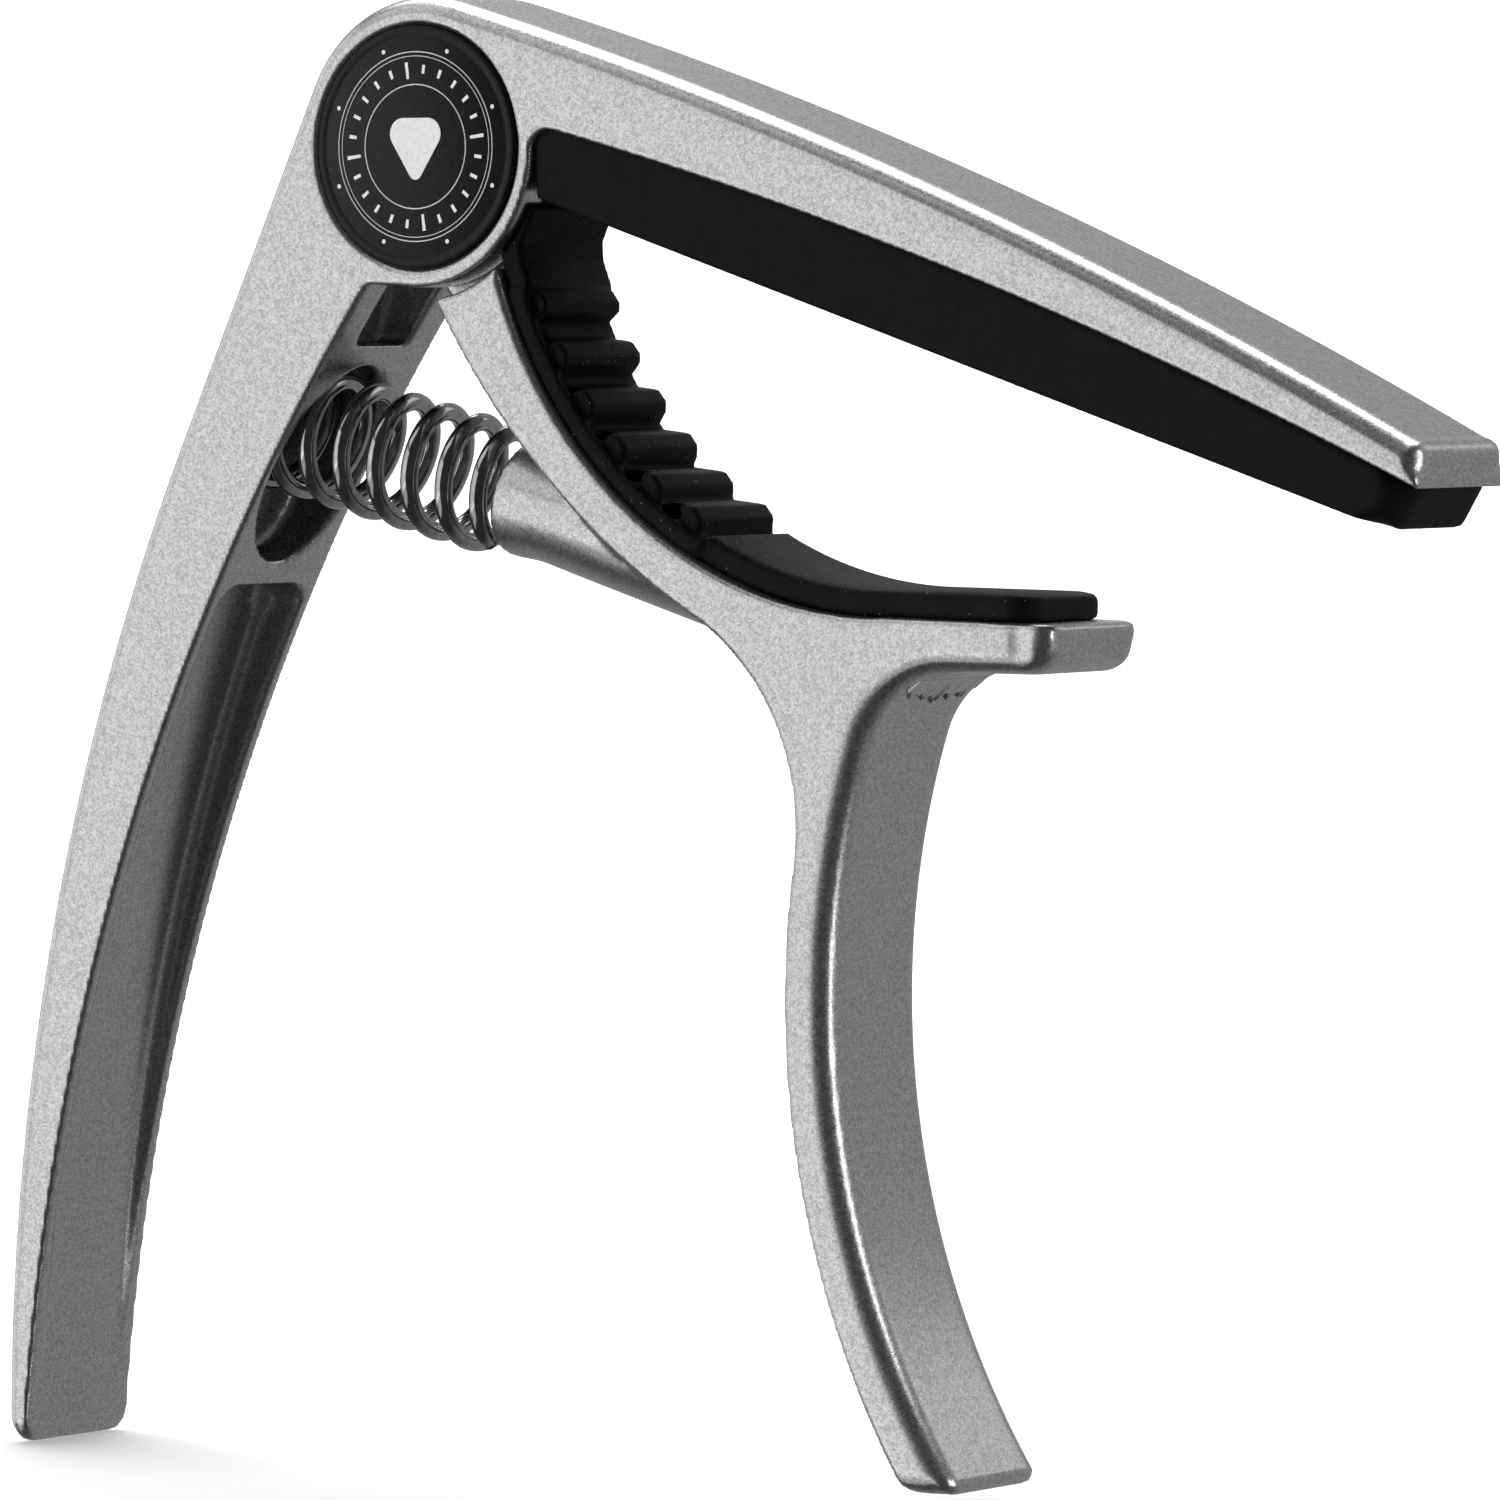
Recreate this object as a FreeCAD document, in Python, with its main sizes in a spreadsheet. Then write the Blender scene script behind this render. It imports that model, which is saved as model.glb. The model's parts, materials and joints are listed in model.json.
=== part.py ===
import FreeCAD, Part

import math
import os

import Sketcher
from FreeCAD import Placement, Rotation, Vector

# A spring guitar capo in millimetres, +Z up, seen from -Y with the string bar to the right.
# Every piece is drawn about the hinge axis, which runs along Y, and is then set at
# (pivot_x, 0, pivot_z), so that the origin is under the middle of the whole capo.

CELLS = {
    # place of the hinge axis
    "pivot_x": -18.07,
    "pivot_z": 76.33,
    # both castings
    "casting_width": 10.0,
    "outer_round": 1.5,
    # hub
    "hub_radius": 8.6,
    "cheek_radius": 8.05,
    "slot_width": 5.0,
    "slot_radius": 6.6,
    "slot_bottom": -11.3,
    "corner_round": 1.3,
    # string bar
    "bar_top_radius": 333.0,
    "bar_under_radius": 335.0,
    "bar_tip_x": 66.5,
    "bar_tip_top": -16.4,
    "bar_tip_bottom": -18.9,
    "groove_width": 4.2,
    "tongue_width": 4.0,
    "tongue_height": 1.2,
    # rear handle
    "rear_angle": 25.0,
    "rear_straight": 22.6,
    "rear_outer_radius": 139.0,
    "rear_inner_radius": 133.7,
    "rear_sweep": 24.6,
    "rear_end_radius": 1.7,
    "channel_width": 8.0,
    "channel_floor_radius": 140.0,
    "channel_round": 1.0,
    # spring and its two seats
    "spring_slope": 13.2,
    "spring_axis_drop": 18.54,
    "spring_seat_rear": 10.14,
    "spring_seat_front": 8.76,
    "spring_mean_radius": 3.42,
    "wire_radius": 0.53,
    "spring_pitch": 2.5,
    "seat_gap": 0.04,
    "pocket_half_width": 4.25,
    "pocket_half_height": 6.3,
    "pocket_drop": 20.2,
    "boss_seat_radius": 3.7,
    "boss_end_radius": 4.6,
    # lower arm
    "shoulder_radius": 8.75,
    "neck_radius": 27.0,
    "jaw_under_radius": 47.0,
    "crotch_radius": 13.5,
    "fork_radius": 5.5,
    "front_left_radius": 50.0,
    "front_right_radius": 47.0,
    "front_round": 1.6,
    "knuckle_radius": 6.2,
    "knuckle_back_radius": 8.0,
    "knuckle_width": 4.4,
    # rubber
    "pad_width": 9.2,
    "pad_end_round": 2.0,
    "cushion_width": 8.6,
    "cushion_radius": 25.0,
    "cushion_back_radius": 8.3,
    "cushion_tongue_radius": 8.9,
    # hinge pin and the discs that cover it
    "badge_recess_radius": 7.0,
    "badge_recess_depth": 0.6,
    "badge_radius": 6.92,
    "badge_thickness": 0.4,
    "adhesive_radius": 6.6,
    "adhesive_thickness": 0.1,
    "head_recess_radius": 4.0,
    "head_recess_depth": 0.9,
    "head_radius": 3.9,
    "head_thickness": 0.85,
    "barrel_bore_radius": 2.52,
    "barrel_radius": 2.5,
    "barrel_end": 3.4,
    "thread_bore_radius": 1.52,
    "thread_bore_end": 3.0,
    "screw_radius": 1.5,
    "screw_end": 2.6,
    "hex_across_flats": 2.5,
    "hex_depth": 0.6,
    "bush_bore_radius": 2.54,
    "bush_radius": 3.2,
    "knuckle_bore_radius": 3.22,
    "washer_bore_radius": 2.6,
    "washer_radius": 5.8,
    "washer_thickness": 0.25,
}

# Centres of the jaw's neck curve, of the curve under the jaw and of the front handle's curve.
NECK_CENTRE = Vector(31.5, 0.65, 0)
UNDER_CENTRE = Vector(42.1, 14.4, 0)
FRONT_CENTRE = Vector(75.3, -48.0, 0)

# Where the bar's underside leaves the hub and where the hub meets the rear handle, in degrees.
BAR_ROOT = 10.5
REAR_ROOT = 264.0
REAR_INNER_TOP = Vector(-3.45, -7.85, 0)

# Ends of the rear handle's channel floor, and how far the cut goes past the handle at each.
CHANNEL_TOP = Vector(-17.4, -25.4, 0)
CHANNEL_FOOT = Vector(-28.35, -70.5, 0)
CHANNEL_TOP_CLEAR = Vector(7.4, 0, 0)
CHANNEL_FOOT_CLEAR = Vector(2.85, 0, 0)

# Corners of the gap between the cheeks, below the hinge.
SLOT_LEFT = -8.1
SLOT_RIGHT = 12.0
SLOT_SHOULDER = Vector(9.3, -3.4, 0)

# Lower arm: jaw tip, and the levels of the jaw's underside and of the front handle's foot.
JAW_TIP_TOP = Vector(43.2, -26.6, 0)
JAW_TIP_X = 43.0
JAW_FLOOR = -29.4
FRONT_FOOT = -75.3

# Spring boss, from its seat: the end of its taper, the end of its nose, and the nose's radius.
BOSS_TAPER = 12.0
BOSS_LENGTH = 19.0
BOSS_NOSE = 1.5

# String pad: its ends on the bar's underside, its lower corners, and the span of its tongue,
# which overlaps the pad by the last number.
PAD_LEFT = 9.6
PAD_RIGHT = 66.0
PAD_HEEL_TOP = Vector(8.6, 0, 0)
PAD_HEEL = Vector(8.6, -3.15, 0)
PAD_TOE = Vector(64.5, -21.15, 0)
TONGUE_SPAN = (12.0, 62.0)
TONGUE_OVERLAP = 0.5
GROOVE_CLEAR = 0.05

# Neck cushion: its flat lip, and where the curve over the ribs ends, left of the neck's centre.
LIP_LOW = Vector(41.3, -26.55, 0)
LIP_END = Vector(41.3, -25.1, 0)
LIP_START = Vector(30.0, -24.75, 0)
RIBS_END = 5.0

doc = FreeCAD.newDocument("guitar_capo")
dims = doc.addObject("Spreadsheet::Sheet", "dims")
for row, (alias, number) in enumerate(CELLS.items(), start=1):
    dims.set(f"A{row}", alias)
    dims.set(f"B{row}", str(number))
    dims.setAlias(f"B{row}", alias)
doc.recompute()


def cell(alias):
    return float(getattr(dims, alias))


def polar(radius, degrees):
    angle = math.radians(degrees)
    return Vector(radius * math.cos(angle), radius * math.sin(angle), 0)


def circles_meet(centre_a, radius_a, centre_b, radius_b, side):
    """One of the two points common to two circles: side 1 is left of the line from a to b, -1 right."""
    along = centre_b - centre_a
    gap = along.Length
    reach = (gap**2 + radius_a**2 - radius_b**2) / (2 * gap)
    rise = math.sqrt(radius_a**2 - reach**2)
    along.normalize()
    across = Vector(-along.y, along.x, 0)
    return centre_a + along * reach + across * (rise * side)


def from_centre(centre, toward, radius):
    """The point on a circle about centre that lies towards another point."""
    ray = toward - centre
    ray.normalize()
    return centre + ray * radius


def new_body(name):
    body = doc.addObject("PartDesign::Body", name)
    body.Label = name
    return body


def origin_plane(body, role):
    for feature in body.Origin.OriginFeatures:
        if feature.Role == role:
            return feature
    raise ValueError(role)


def new_sketch(body, name, role="XZ_Plane", offset=None):
    sketch = body.newObject("Sketcher::SketchObject", name)
    sketch.AttachmentSupport = [(origin_plane(body, role), "")]
    sketch.MapMode = "FlatFace"
    if offset is not None:
        sketch.AttachmentOffset = offset
    return sketch


def bind_constraint(sketch, constraint, expression):
    index = sketch.addConstraint(constraint)
    sketch.setExpression(f"Constraints[{index}]", expression)


def add_arc(sketch, start, end, radius):
    """An arc under half a turn: a positive radius turns left from start to end, a negative one right."""
    chord = end - start
    left = Vector(-chord.y, chord.x, 0)
    left.normalize()
    sagitta_leg = math.sqrt(radius**2 - (chord.Length / 2) ** 2)
    centre = (start + end) * 0.5 + left * math.copysign(sagitta_leg, radius)
    first, last = (start, end) if radius > 0 else (end, start)
    first_angle = math.atan2(first.y - centre.y, first.x - centre.x)
    last_angle = math.atan2(last.y - centre.y, last.x - centre.x)
    if last_angle < first_angle:
        last_angle += 2 * math.pi
    circle = Part.Circle(centre, Vector(0, 0, 1), abs(radius))
    return sketch.addGeometry(Part.ArcOfCircle(circle, first_angle, last_angle))


def add_outline(sketch, start, steps):
    """A closed chain from start. A step is an end point, and for an arc the cell of its radius,
    with a minus sign where it turns right."""
    here = start
    pieces = []
    for end, radius_cell in steps:
        if radius_cell:
            turns_right = radius_cell.startswith("-")
            alias = radius_cell.lstrip("-")
            radius = cell(alias)
            index = add_arc(sketch, here, end, -radius if turns_right else radius)
            bind_constraint(sketch, Sketcher.Constraint("Radius", index, radius), f"dims.{alias}")
            pieces.append((index, 2, 1) if turns_right else (index, 1, 2))
        else:
            index = sketch.addGeometry(Part.LineSegment(here, end))
            pieces.append((index, 1, 2))
        here = end
    for (index, _, tail), (following, head, _) in zip(pieces, pieces[1:] + pieces[:1]):
        sketch.addConstraint(Sketcher.Constraint("Coincident", index, tail, following, head))


def add_circle(sketch, radius_cell, centre=Vector()):
    radius = cell(radius_cell)
    index = sketch.addGeometry(Part.Circle(centre, Vector(0, 0, 1), radius))
    bind_constraint(sketch, Sketcher.Constraint("Radius", index, radius), f"dims.{radius_cell}")


def add_feature(body, kind, name, sketch):
    feature = body.newObject(f"PartDesign::{kind}", name)
    feature.Profile = sketch
    sketch.Visibility = False
    return feature


def pad_both_ways(body, name, sketch, width):
    pad = add_feature(body, "Pad", name, sketch)
    pad.SideType = "Symmetric"
    pad.setExpression("Length", width)
    doc.recompute()
    return pad


def check_cut(body, feature, volume_before):
    doc.recompute()
    if not body.Shape.Volume < volume_before - 0.01:
        raise RuntimeError(f"{feature.Name} cuts nothing")


def pocket_both_ways(body, name, sketch, width):
    before = body.Shape.Volume
    pocket = add_feature(body, "Pocket", name, sketch)
    pocket.SideType = "Symmetric"
    pocket.setExpression("Length", width)
    check_cut(body, pocket, before)


def pocket_down(body, name, sketch, depth, reversed_way=False):
    before = body.Shape.Volume
    pocket = add_feature(body, "Pocket", name, sketch)
    pocket.Reversed = reversed_way
    pocket.setExpression("Length", depth)
    check_cut(body, pocket, before)


def rounded(body, name, rounds):
    """The finished casting: a body with its edges rounded. Each round is a cell and a test that
    picks its edges."""
    edges = []
    for radius_cell, test in rounds:
        radius = cell(radius_cell)
        chosen = [i for i, edge in enumerate(body.Shape.Edges, start=1) if test(edge)]
        if not chosen:
            raise RuntimeError(f"{name}: nothing to round by {radius_cell}")
        edges += [(i, radius, radius) for i in chosen]
    sharp_volume = body.Shape.Volume
    fillet = doc.addObject("Part::Fillet", name)
    fillet.Label = name
    fillet.Base = body
    fillet.Edges = edges
    settle(body)
    doc.recompute()
    print(f"{name}: {sharp_volume:.1f} mm3 sharp, {fillet.Shape.Volume:.1f} mm3 rounded")
    return fillet


def middle(edge):
    return edge.valueAt((edge.FirstParameter + edge.LastParameter) / 2)


def in_side_view(edge):
    """An edge's middle as a point of the side view's sketches."""
    place = middle(edge)
    return Vector(place.x, place.z, 0)


def runs_across(edge):
    """True for a straight edge along Y."""
    start, end = edge.valueAt(edge.FirstParameter), edge.valueAt(edge.LastParameter)
    return abs(start.x - end.x) < 1e-4 and abs(start.z - end.z) < 1e-4 and abs(start.y - end.y) > 0.1


def on_side_face(edge):
    """True for an edge that lies in one of the two flat sides of a casting."""
    start, end = edge.valueAt(edge.FirstParameter), edge.valueAt(edge.LastParameter)
    side = cell("casting_width") / 2
    return all(abs(abs(p.y) - side) < 1e-3 for p in (start, middle(edge), end))


def lies_on(edge, arcs, line_middles):
    """True where an edge's middle is on one of some arcs, or is the middle of one of some lines."""
    flat = in_side_view(edge)
    on_arc = any(abs(flat.distanceToPoint(centre) - radius) < 0.005 for centre, radius in arcs)
    return on_arc or any(flat.distanceToPoint(spot) < 0.8 for spot in line_middles)


def settle(body):
    """Sets a finished piece at the hinge axis."""
    body.Placement = Placement(Vector(cell("pivot_x"), 0, cell("pivot_z")), Rotation())
    return body


def bar_top_centre():
    """Centre of the bar's top, an arc that ends at the tip and touches the hub circle."""
    tip = Vector(cell("bar_tip_x"), cell("bar_tip_top"), 0)
    reach = cell("bar_top_radius") - cell("hub_radius")
    return circles_meet(Vector(), reach, tip, cell("bar_top_radius"), -1)


def rear_outer_points():
    """The rear handle's outer side: hub tangent point, end of the straight, end of the long arc
    and toe, then the centres of the long arc and of the toe's arc."""
    leave = polar(cell("hub_radius"), 180 - cell("rear_angle"))
    heading = polar(1, 270 - cell("rear_angle"))
    inward = Vector(-heading.y, heading.x, 0)
    bend = leave + heading * cell("rear_straight")
    centre = bend + inward * cell("rear_outer_radius")
    foot = centre + Rotation(Vector(0, 0, 1), cell("rear_sweep")).multVec(bend - centre)
    toe_centre = foot + (centre - foot).normalize() * cell("rear_end_radius")
    toe = toe_centre - Vector(0, cell("rear_end_radius"), 0)
    return leave, bend, foot, toe, centre, toe_centre


def build_upper_arm():
    body = new_body("upper_arm_sharp")
    tip_top = Vector(cell("bar_tip_x"), cell("bar_tip_top"), 0)
    tip_bottom = Vector(cell("bar_tip_x"), cell("bar_tip_bottom"), 0)
    leave, bend, foot, toe, rear_centre, toe_centre = rear_outer_points()
    bar_centre = bar_top_centre()
    bar_root = polar(cell("cheek_radius"), BAR_ROOT)
    side = new_sketch(body, "arm_side")
    steps = [
        (from_centre(Vector(), bar_centre * -1, cell("hub_radius")), "bar_top_radius"),
        (leave, "hub_radius"),
        (bend, ""),
        (foot, "rear_outer_radius"),
        (toe, "rear_end_radius"),
        (REAR_INNER_TOP, "-rear_inner_radius"),
        (polar(cell("cheek_radius"), REAR_ROOT), ""),
        (bar_root, "cheek_radius"),
        (tip_bottom, "-bar_under_radius"),
        (tip_top, ""),
    ]
    add_outline(side, tip_top, steps)
    pad_both_ways(body, "arm_pad", side, "dims.casting_width")

    outer_arcs = [
        (bar_centre, cell("bar_top_radius")),
        (Vector(), cell("hub_radius")),
        (rear_centre, cell("rear_outer_radius")),
        (toe_centre, cell("rear_end_radius")),
    ]
    outer_lines = [(leave + bend) * 0.5, (tip_top + tip_bottom) * 0.5]

    def is_outer(edge):
        """The long outer edge, from the bar's tip over the hub to the rear handle's foot."""
        return on_side_face(edge) and lies_on(edge, outer_arcs, outer_lines)

    def is_inner_corner(edge):
        return runs_across(edge) and in_side_view(edge).distanceToPoint(bar_root) < 0.5

    cut_slot(body)
    cut_spring_pocket(body)
    cut_channel(body)
    cut_groove(body)
    cut_hinge_seats(body)
    rounds = [
        ("outer_round", is_outer),
        ("corner_round", is_inner_corner),
        ("channel_round", is_channel_corner),
    ]
    return rounded(body, "upper_arm", rounds)


def is_channel_corner(edge):
    """True for the two corners at the top of the rear handle's channel."""
    start, end = edge.valueAt(edge.FirstParameter), edge.valueAt(edge.LastParameter)
    wall = cell("channel_width") / 2
    at_top = all(abs(point.z - CHANNEL_TOP.y) < 0.01 for point in (start, end))
    at_wall = all(abs(abs(point.y) - wall) < 0.01 for point in (start, end))
    return at_top and at_wall and start.y * end.y > 0


def cut_slot(body):
    """The gap between the two cheeks, open below and to the right for the knuckle."""
    radius = cell("slot_radius")
    bottom = cell("slot_bottom")
    slot = new_sketch(body, "slot_side")
    start = polar(radius, -18)
    steps = [
        (polar(radius, 90), "slot_radius"),
        (polar(radius, 205), "slot_radius"),
        (Vector(SLOT_LEFT, bottom, 0), ""),
        (Vector(SLOT_RIGHT, bottom, 0), ""),
        (SLOT_SHOULDER, ""),
        (start, ""),
    ]
    add_outline(slot, start, steps)
    pocket_both_ways(body, "hub_slot", slot, "dims.slot_width")


def spring_frame(role="YZ_Plane"):
    """Turns a body plane so that it faces along the spring."""
    slope = cell("spring_slope")
    if role == "YZ_Plane":
        return Placement(Vector(), Rotation(Vector(1, 0, 0), slope))
    return Placement(Vector(), Rotation(Vector(0, 0, 1), -slope))


def cut_spring_pocket(body):
    """The oval pocket in the rear handle whose floor is the spring's seat."""
    face = new_sketch(body, "pocket_oval", "YZ_Plane", spring_frame())
    centre = Vector(0, -cell("pocket_drop"), 0)
    high, wide = cell("pocket_half_height"), cell("pocket_half_width")
    top = centre + Vector(0, high, 0)
    right = centre + Vector(wide, 0, 0)
    face.addGeometry(Part.Ellipse(top, right, centre))
    pocket_down(body, "spring_pocket", face, "dims.spring_seat_rear")


def cut_channel(body):
    """The long channel in the rear handle, deep at its top and running out at its foot."""
    channel = new_sketch(body, "channel_side")
    clear = CHANNEL_TOP + CHANNEL_TOP_CLEAR
    steps = [
        (CHANNEL_TOP, ""),
        (CHANNEL_FOOT, "channel_floor_radius"),
        (CHANNEL_FOOT + CHANNEL_FOOT_CLEAR, ""),
        (clear, ""),
    ]
    add_outline(channel, clear, steps)
    pocket_both_ways(body, "handle_channel", channel, "dims.channel_width")


def bar_under_height(x):
    """Height of the bar's underside, the arc from the hub to the tip."""
    start = polar(cell("cheek_radius"), BAR_ROOT)
    tip = Vector(cell("bar_tip_x"), cell("bar_tip_bottom"), 0)
    chord = tip - start
    radius = cell("bar_under_radius")
    left = Vector(-chord.y, chord.x, 0)
    left.normalize()
    centre = (start + tip) * 0.5 - left * math.sqrt(radius**2 - (chord.Length / 2) ** 2)
    return centre.y + math.sqrt(radius**2 - (x - centre.x) ** 2)


def tongue_steps(height):
    """The strip that the pad's tongue fills, standing above the bar's underside."""
    left, right = TONGUE_SPAN
    low_left = Vector(left, bar_under_height(left) - TONGUE_OVERLAP, 0)
    low_right = Vector(right, bar_under_height(right) - TONGUE_OVERLAP, 0)
    up = Vector(0, height + TONGUE_OVERLAP, 0)
    steps = [
        (low_left, "bar_under_radius"),
        (low_left + up, ""),
        (low_right + up, "-bar_under_radius"),
        (low_right, ""),
    ]
    return low_right, steps


def cut_groove(body):
    groove = new_sketch(body, "groove_side")
    start, steps = tongue_steps(cell("tongue_height") + GROOVE_CLEAR)
    add_outline(groove, start, steps)
    pocket_both_ways(body, "pad_groove", groove, "dims.groove_width")


def cut_hinge_seats(body):
    """The bore through both cheeks, and in each cheek a seat for a head and one for a badge."""
    bore = new_sketch(body, "bore_circle")
    add_circle(bore, "barrel_bore_radius")
    pocket_both_ways(body, "barrel_bore", bore, "dims.casting_width + 2")
    half = cell("casting_width") / 2
    for side_name, sign in (("front", 1), ("rear", -1)):
        lift = Placement(Vector(0, 0, sign * half), Rotation())
        badge = new_sketch(body, f"{side_name}_badge_circle", offset=lift)
        add_circle(badge, "badge_recess_radius")
        pocket_down(body, f"{side_name}_badge_recess", badge, "dims.badge_recess_depth", sign < 0)
        head = new_sketch(body, f"{side_name}_head_circle", offset=lift)
        add_circle(head, "head_recess_radius")
        depth = "dims.badge_recess_depth + dims.head_recess_depth"
        pocket_down(body, f"{side_name}_head_recess", head, depth, sign < 0)


def lower_arm_points():
    """Corners and tangent points of the lower arm's side view."""
    shoulder = cell("shoulder_radius")
    neck = cell("neck_radius")
    left, right = cell("front_left_radius"), cell("front_right_radius")
    crotch = cell("crotch_radius")
    crotch_centre = circles_meet(
        UNDER_CENTRE, cell("jaw_under_radius") + crotch, FRONT_CENTRE, left + crotch, -1
    )
    fork = cell("fork_radius")
    fork_height = JAW_FLOOR - fork
    fork_reach = math.sqrt((right - fork) ** 2 - (fork_height - FRONT_CENTRE.y) ** 2)
    fork_centre = Vector(FRONT_CENTRE.x - fork_reach, fork_height, 0)
    foot_drop = FRONT_FOOT - FRONT_CENTRE.y
    return {
        "shoulder_left": circles_meet(Vector(), shoulder, UNDER_CENTRE, cell("jaw_under_radius"), -1),
        "shoulder_right": circles_meet(Vector(), shoulder, NECK_CENTRE, neck, -1),
        "neck_bottom": NECK_CENTRE - Vector(0, neck, 0),
        "jaw_tip_bottom": Vector(JAW_TIP_X, JAW_FLOOR, 0),
        "fork_centre": fork_centre,
        "fork_right": Vector(fork_centre.x, JAW_FLOOR, 0),
        "fork_left": from_centre(FRONT_CENTRE, fork_centre, right),
        "foot_right": Vector(FRONT_CENTRE.x - math.sqrt(right**2 - foot_drop**2), FRONT_FOOT, 0),
        "foot_left": Vector(FRONT_CENTRE.x - math.sqrt(left**2 - foot_drop**2), FRONT_FOOT, 0),
        "crotch_low": from_centre(FRONT_CENTRE, crotch_centre, left),
        "crotch_high": from_centre(UNDER_CENTRE, crotch_centre, cell("jaw_under_radius")),
    }


def build_lower_arm():
    body = new_body("lower_arm_sharp")
    at = lower_arm_points()
    side = new_sketch(body, "arm_side_lower")
    steps = [
        (at["neck_bottom"], "neck_radius"),
        (JAW_TIP_TOP, ""),
        (at["jaw_tip_bottom"], ""),
        (at["fork_right"], ""),
        (at["fork_left"], "fork_radius"),
        (at["foot_right"], "front_right_radius"),
        (at["foot_left"], ""),
        (at["crotch_low"], "-front_left_radius"),
        (at["crotch_high"], "crotch_radius"),
        (at["shoulder_left"], "-jaw_under_radius"),
        (at["shoulder_right"], "shoulder_radius"),
    ]
    add_outline(side, at["shoulder_right"], steps)
    pad_both_ways(body, "lower_pad", side, "dims.casting_width")

    outer_arcs = [
        (at["fork_centre"], cell("fork_radius")),
        (FRONT_CENTRE, cell("front_right_radius")),
    ]
    outer_lines = [
        (JAW_TIP_TOP + at["jaw_tip_bottom"]) * 0.5,
        (at["jaw_tip_bottom"] + at["fork_right"]) * 0.5,
        (at["foot_right"] + at["foot_left"]) * 0.5,
    ]

    def is_outer(edge):
        """The long edge from the jaw's tip, through the fork, to the front handle's foot."""
        return on_side_face(edge) and lies_on(edge, outer_arcs, outer_lines)

    def is_outer_corner(edge):
        corners = (at["jaw_tip_bottom"], at["foot_right"])
        near = any(in_side_view(edge).distanceToPoint(corner) < 0.3 for corner in corners)
        return runs_across(edge) and near

    add_boss(body)
    add_knuckle(body)
    return rounded(body, "lower_arm", [("front_round", is_outer), ("front_round", is_outer_corner)])


def add_boss(body):
    """The round boss that carries the spring, cut back to the jaw's neck curve."""
    boss = new_sketch(body, "boss_half", offset=spring_frame("XZ_Plane"))
    level = -cell("spring_axis_drop")
    seat = cell("spring_seat_front")
    start = Vector(seat, level, 0)
    steps = [
        (Vector(seat + BOSS_LENGTH, level, 0), ""),
        (Vector(seat + BOSS_LENGTH, level - BOSS_NOSE, 0), ""),
        (Vector(seat + BOSS_TAPER, level - cell("boss_end_radius"), 0), ""),
        (Vector(seat, level - cell("boss_seat_radius"), 0), ""),
        (start, ""),
    ]
    add_outline(boss, start, steps)
    axis = boss.addGeometry(Part.LineSegment(start, start + Vector(5, 0, 0)), True)
    revolution = add_feature(body, "Revolution", "boss_turned", boss)
    revolution.ReferenceAxis = (boss, ["Axis0"])
    revolution.Angle = 360
    doc.recompute()
    neck = new_sketch(body, "neck_circle")
    add_circle(neck, "neck_radius", NECK_CENTRE)
    pocket_both_ways(body, "neck_trim", neck, "dims.casting_width + 2")


def add_knuckle(body):
    """The narrow part between the cheeks, which turns about the hinge pin."""
    disc = cell("knuckle_radius")
    back = cell("knuckle_back_radius")
    knuckle = new_sketch(body, "knuckle_side")
    start = polar(disc, -25)
    steps = [
        (polar(disc, 90), "knuckle_radius"),
        (polar(disc, 200), "knuckle_radius"),
        (polar(disc, 256), "knuckle_radius"),
        (Vector(2.7, -11.4, 0), ""),
        (Vector(6.3, -10.4, 0), ""),
        (polar(back, -49), ""),
        (polar(back, -29), "knuckle_back_radius"),
        (start, ""),
    ]
    add_outline(knuckle, start, steps)
    pad_both_ways(body, "knuckle", knuckle, "dims.knuckle_width")
    bore = new_sketch(body, "knuckle_bore_circle")
    add_circle(bore, "knuckle_bore_radius")
    pocket_both_ways(body, "knuckle_bore", bore, "dims.casting_width")


def build_string_pad():
    """The long rubber bar, with a tongue that stands in the string bar's groove."""
    body = new_body("string_pad_sharp")
    side = new_sketch(body, "pad_side")
    top_left = Vector(PAD_LEFT, bar_under_height(PAD_LEFT), 0)
    top_right = Vector(PAD_RIGHT, bar_under_height(PAD_RIGHT), 0)
    steps = [
        (top_left, "bar_under_radius"),
        (PAD_HEEL_TOP, ""),
        (PAD_HEEL, ""),
        (PAD_TOE, ""),
        (top_right, ""),
    ]
    add_outline(side, top_right, steps)
    pad_both_ways(body, "pad_bar", side, "dims.pad_width")

    tongue = new_sketch(body, "tongue_side")
    start, tongue_outline = tongue_steps(cell("tongue_height"))
    add_outline(tongue, start, tongue_outline)
    pad_both_ways(body, "pad_tongue", tongue, "dims.tongue_width")

    def is_end_corner(edge):
        """True for the two edges of the pad's end face that run from its toe up to the bar."""
        start, end = edge.valueAt(edge.FirstParameter), edge.valueAt(edge.LastParameter)
        at_end = min(start.x, end.x) > PAD_TOE.x - 0.5
        return at_end and abs(start.x - end.x) > 0.5 and abs(start.y - end.y) < 0.01

    return rounded(body, "string_pad", [("pad_end_round", is_end_corner)])


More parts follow.
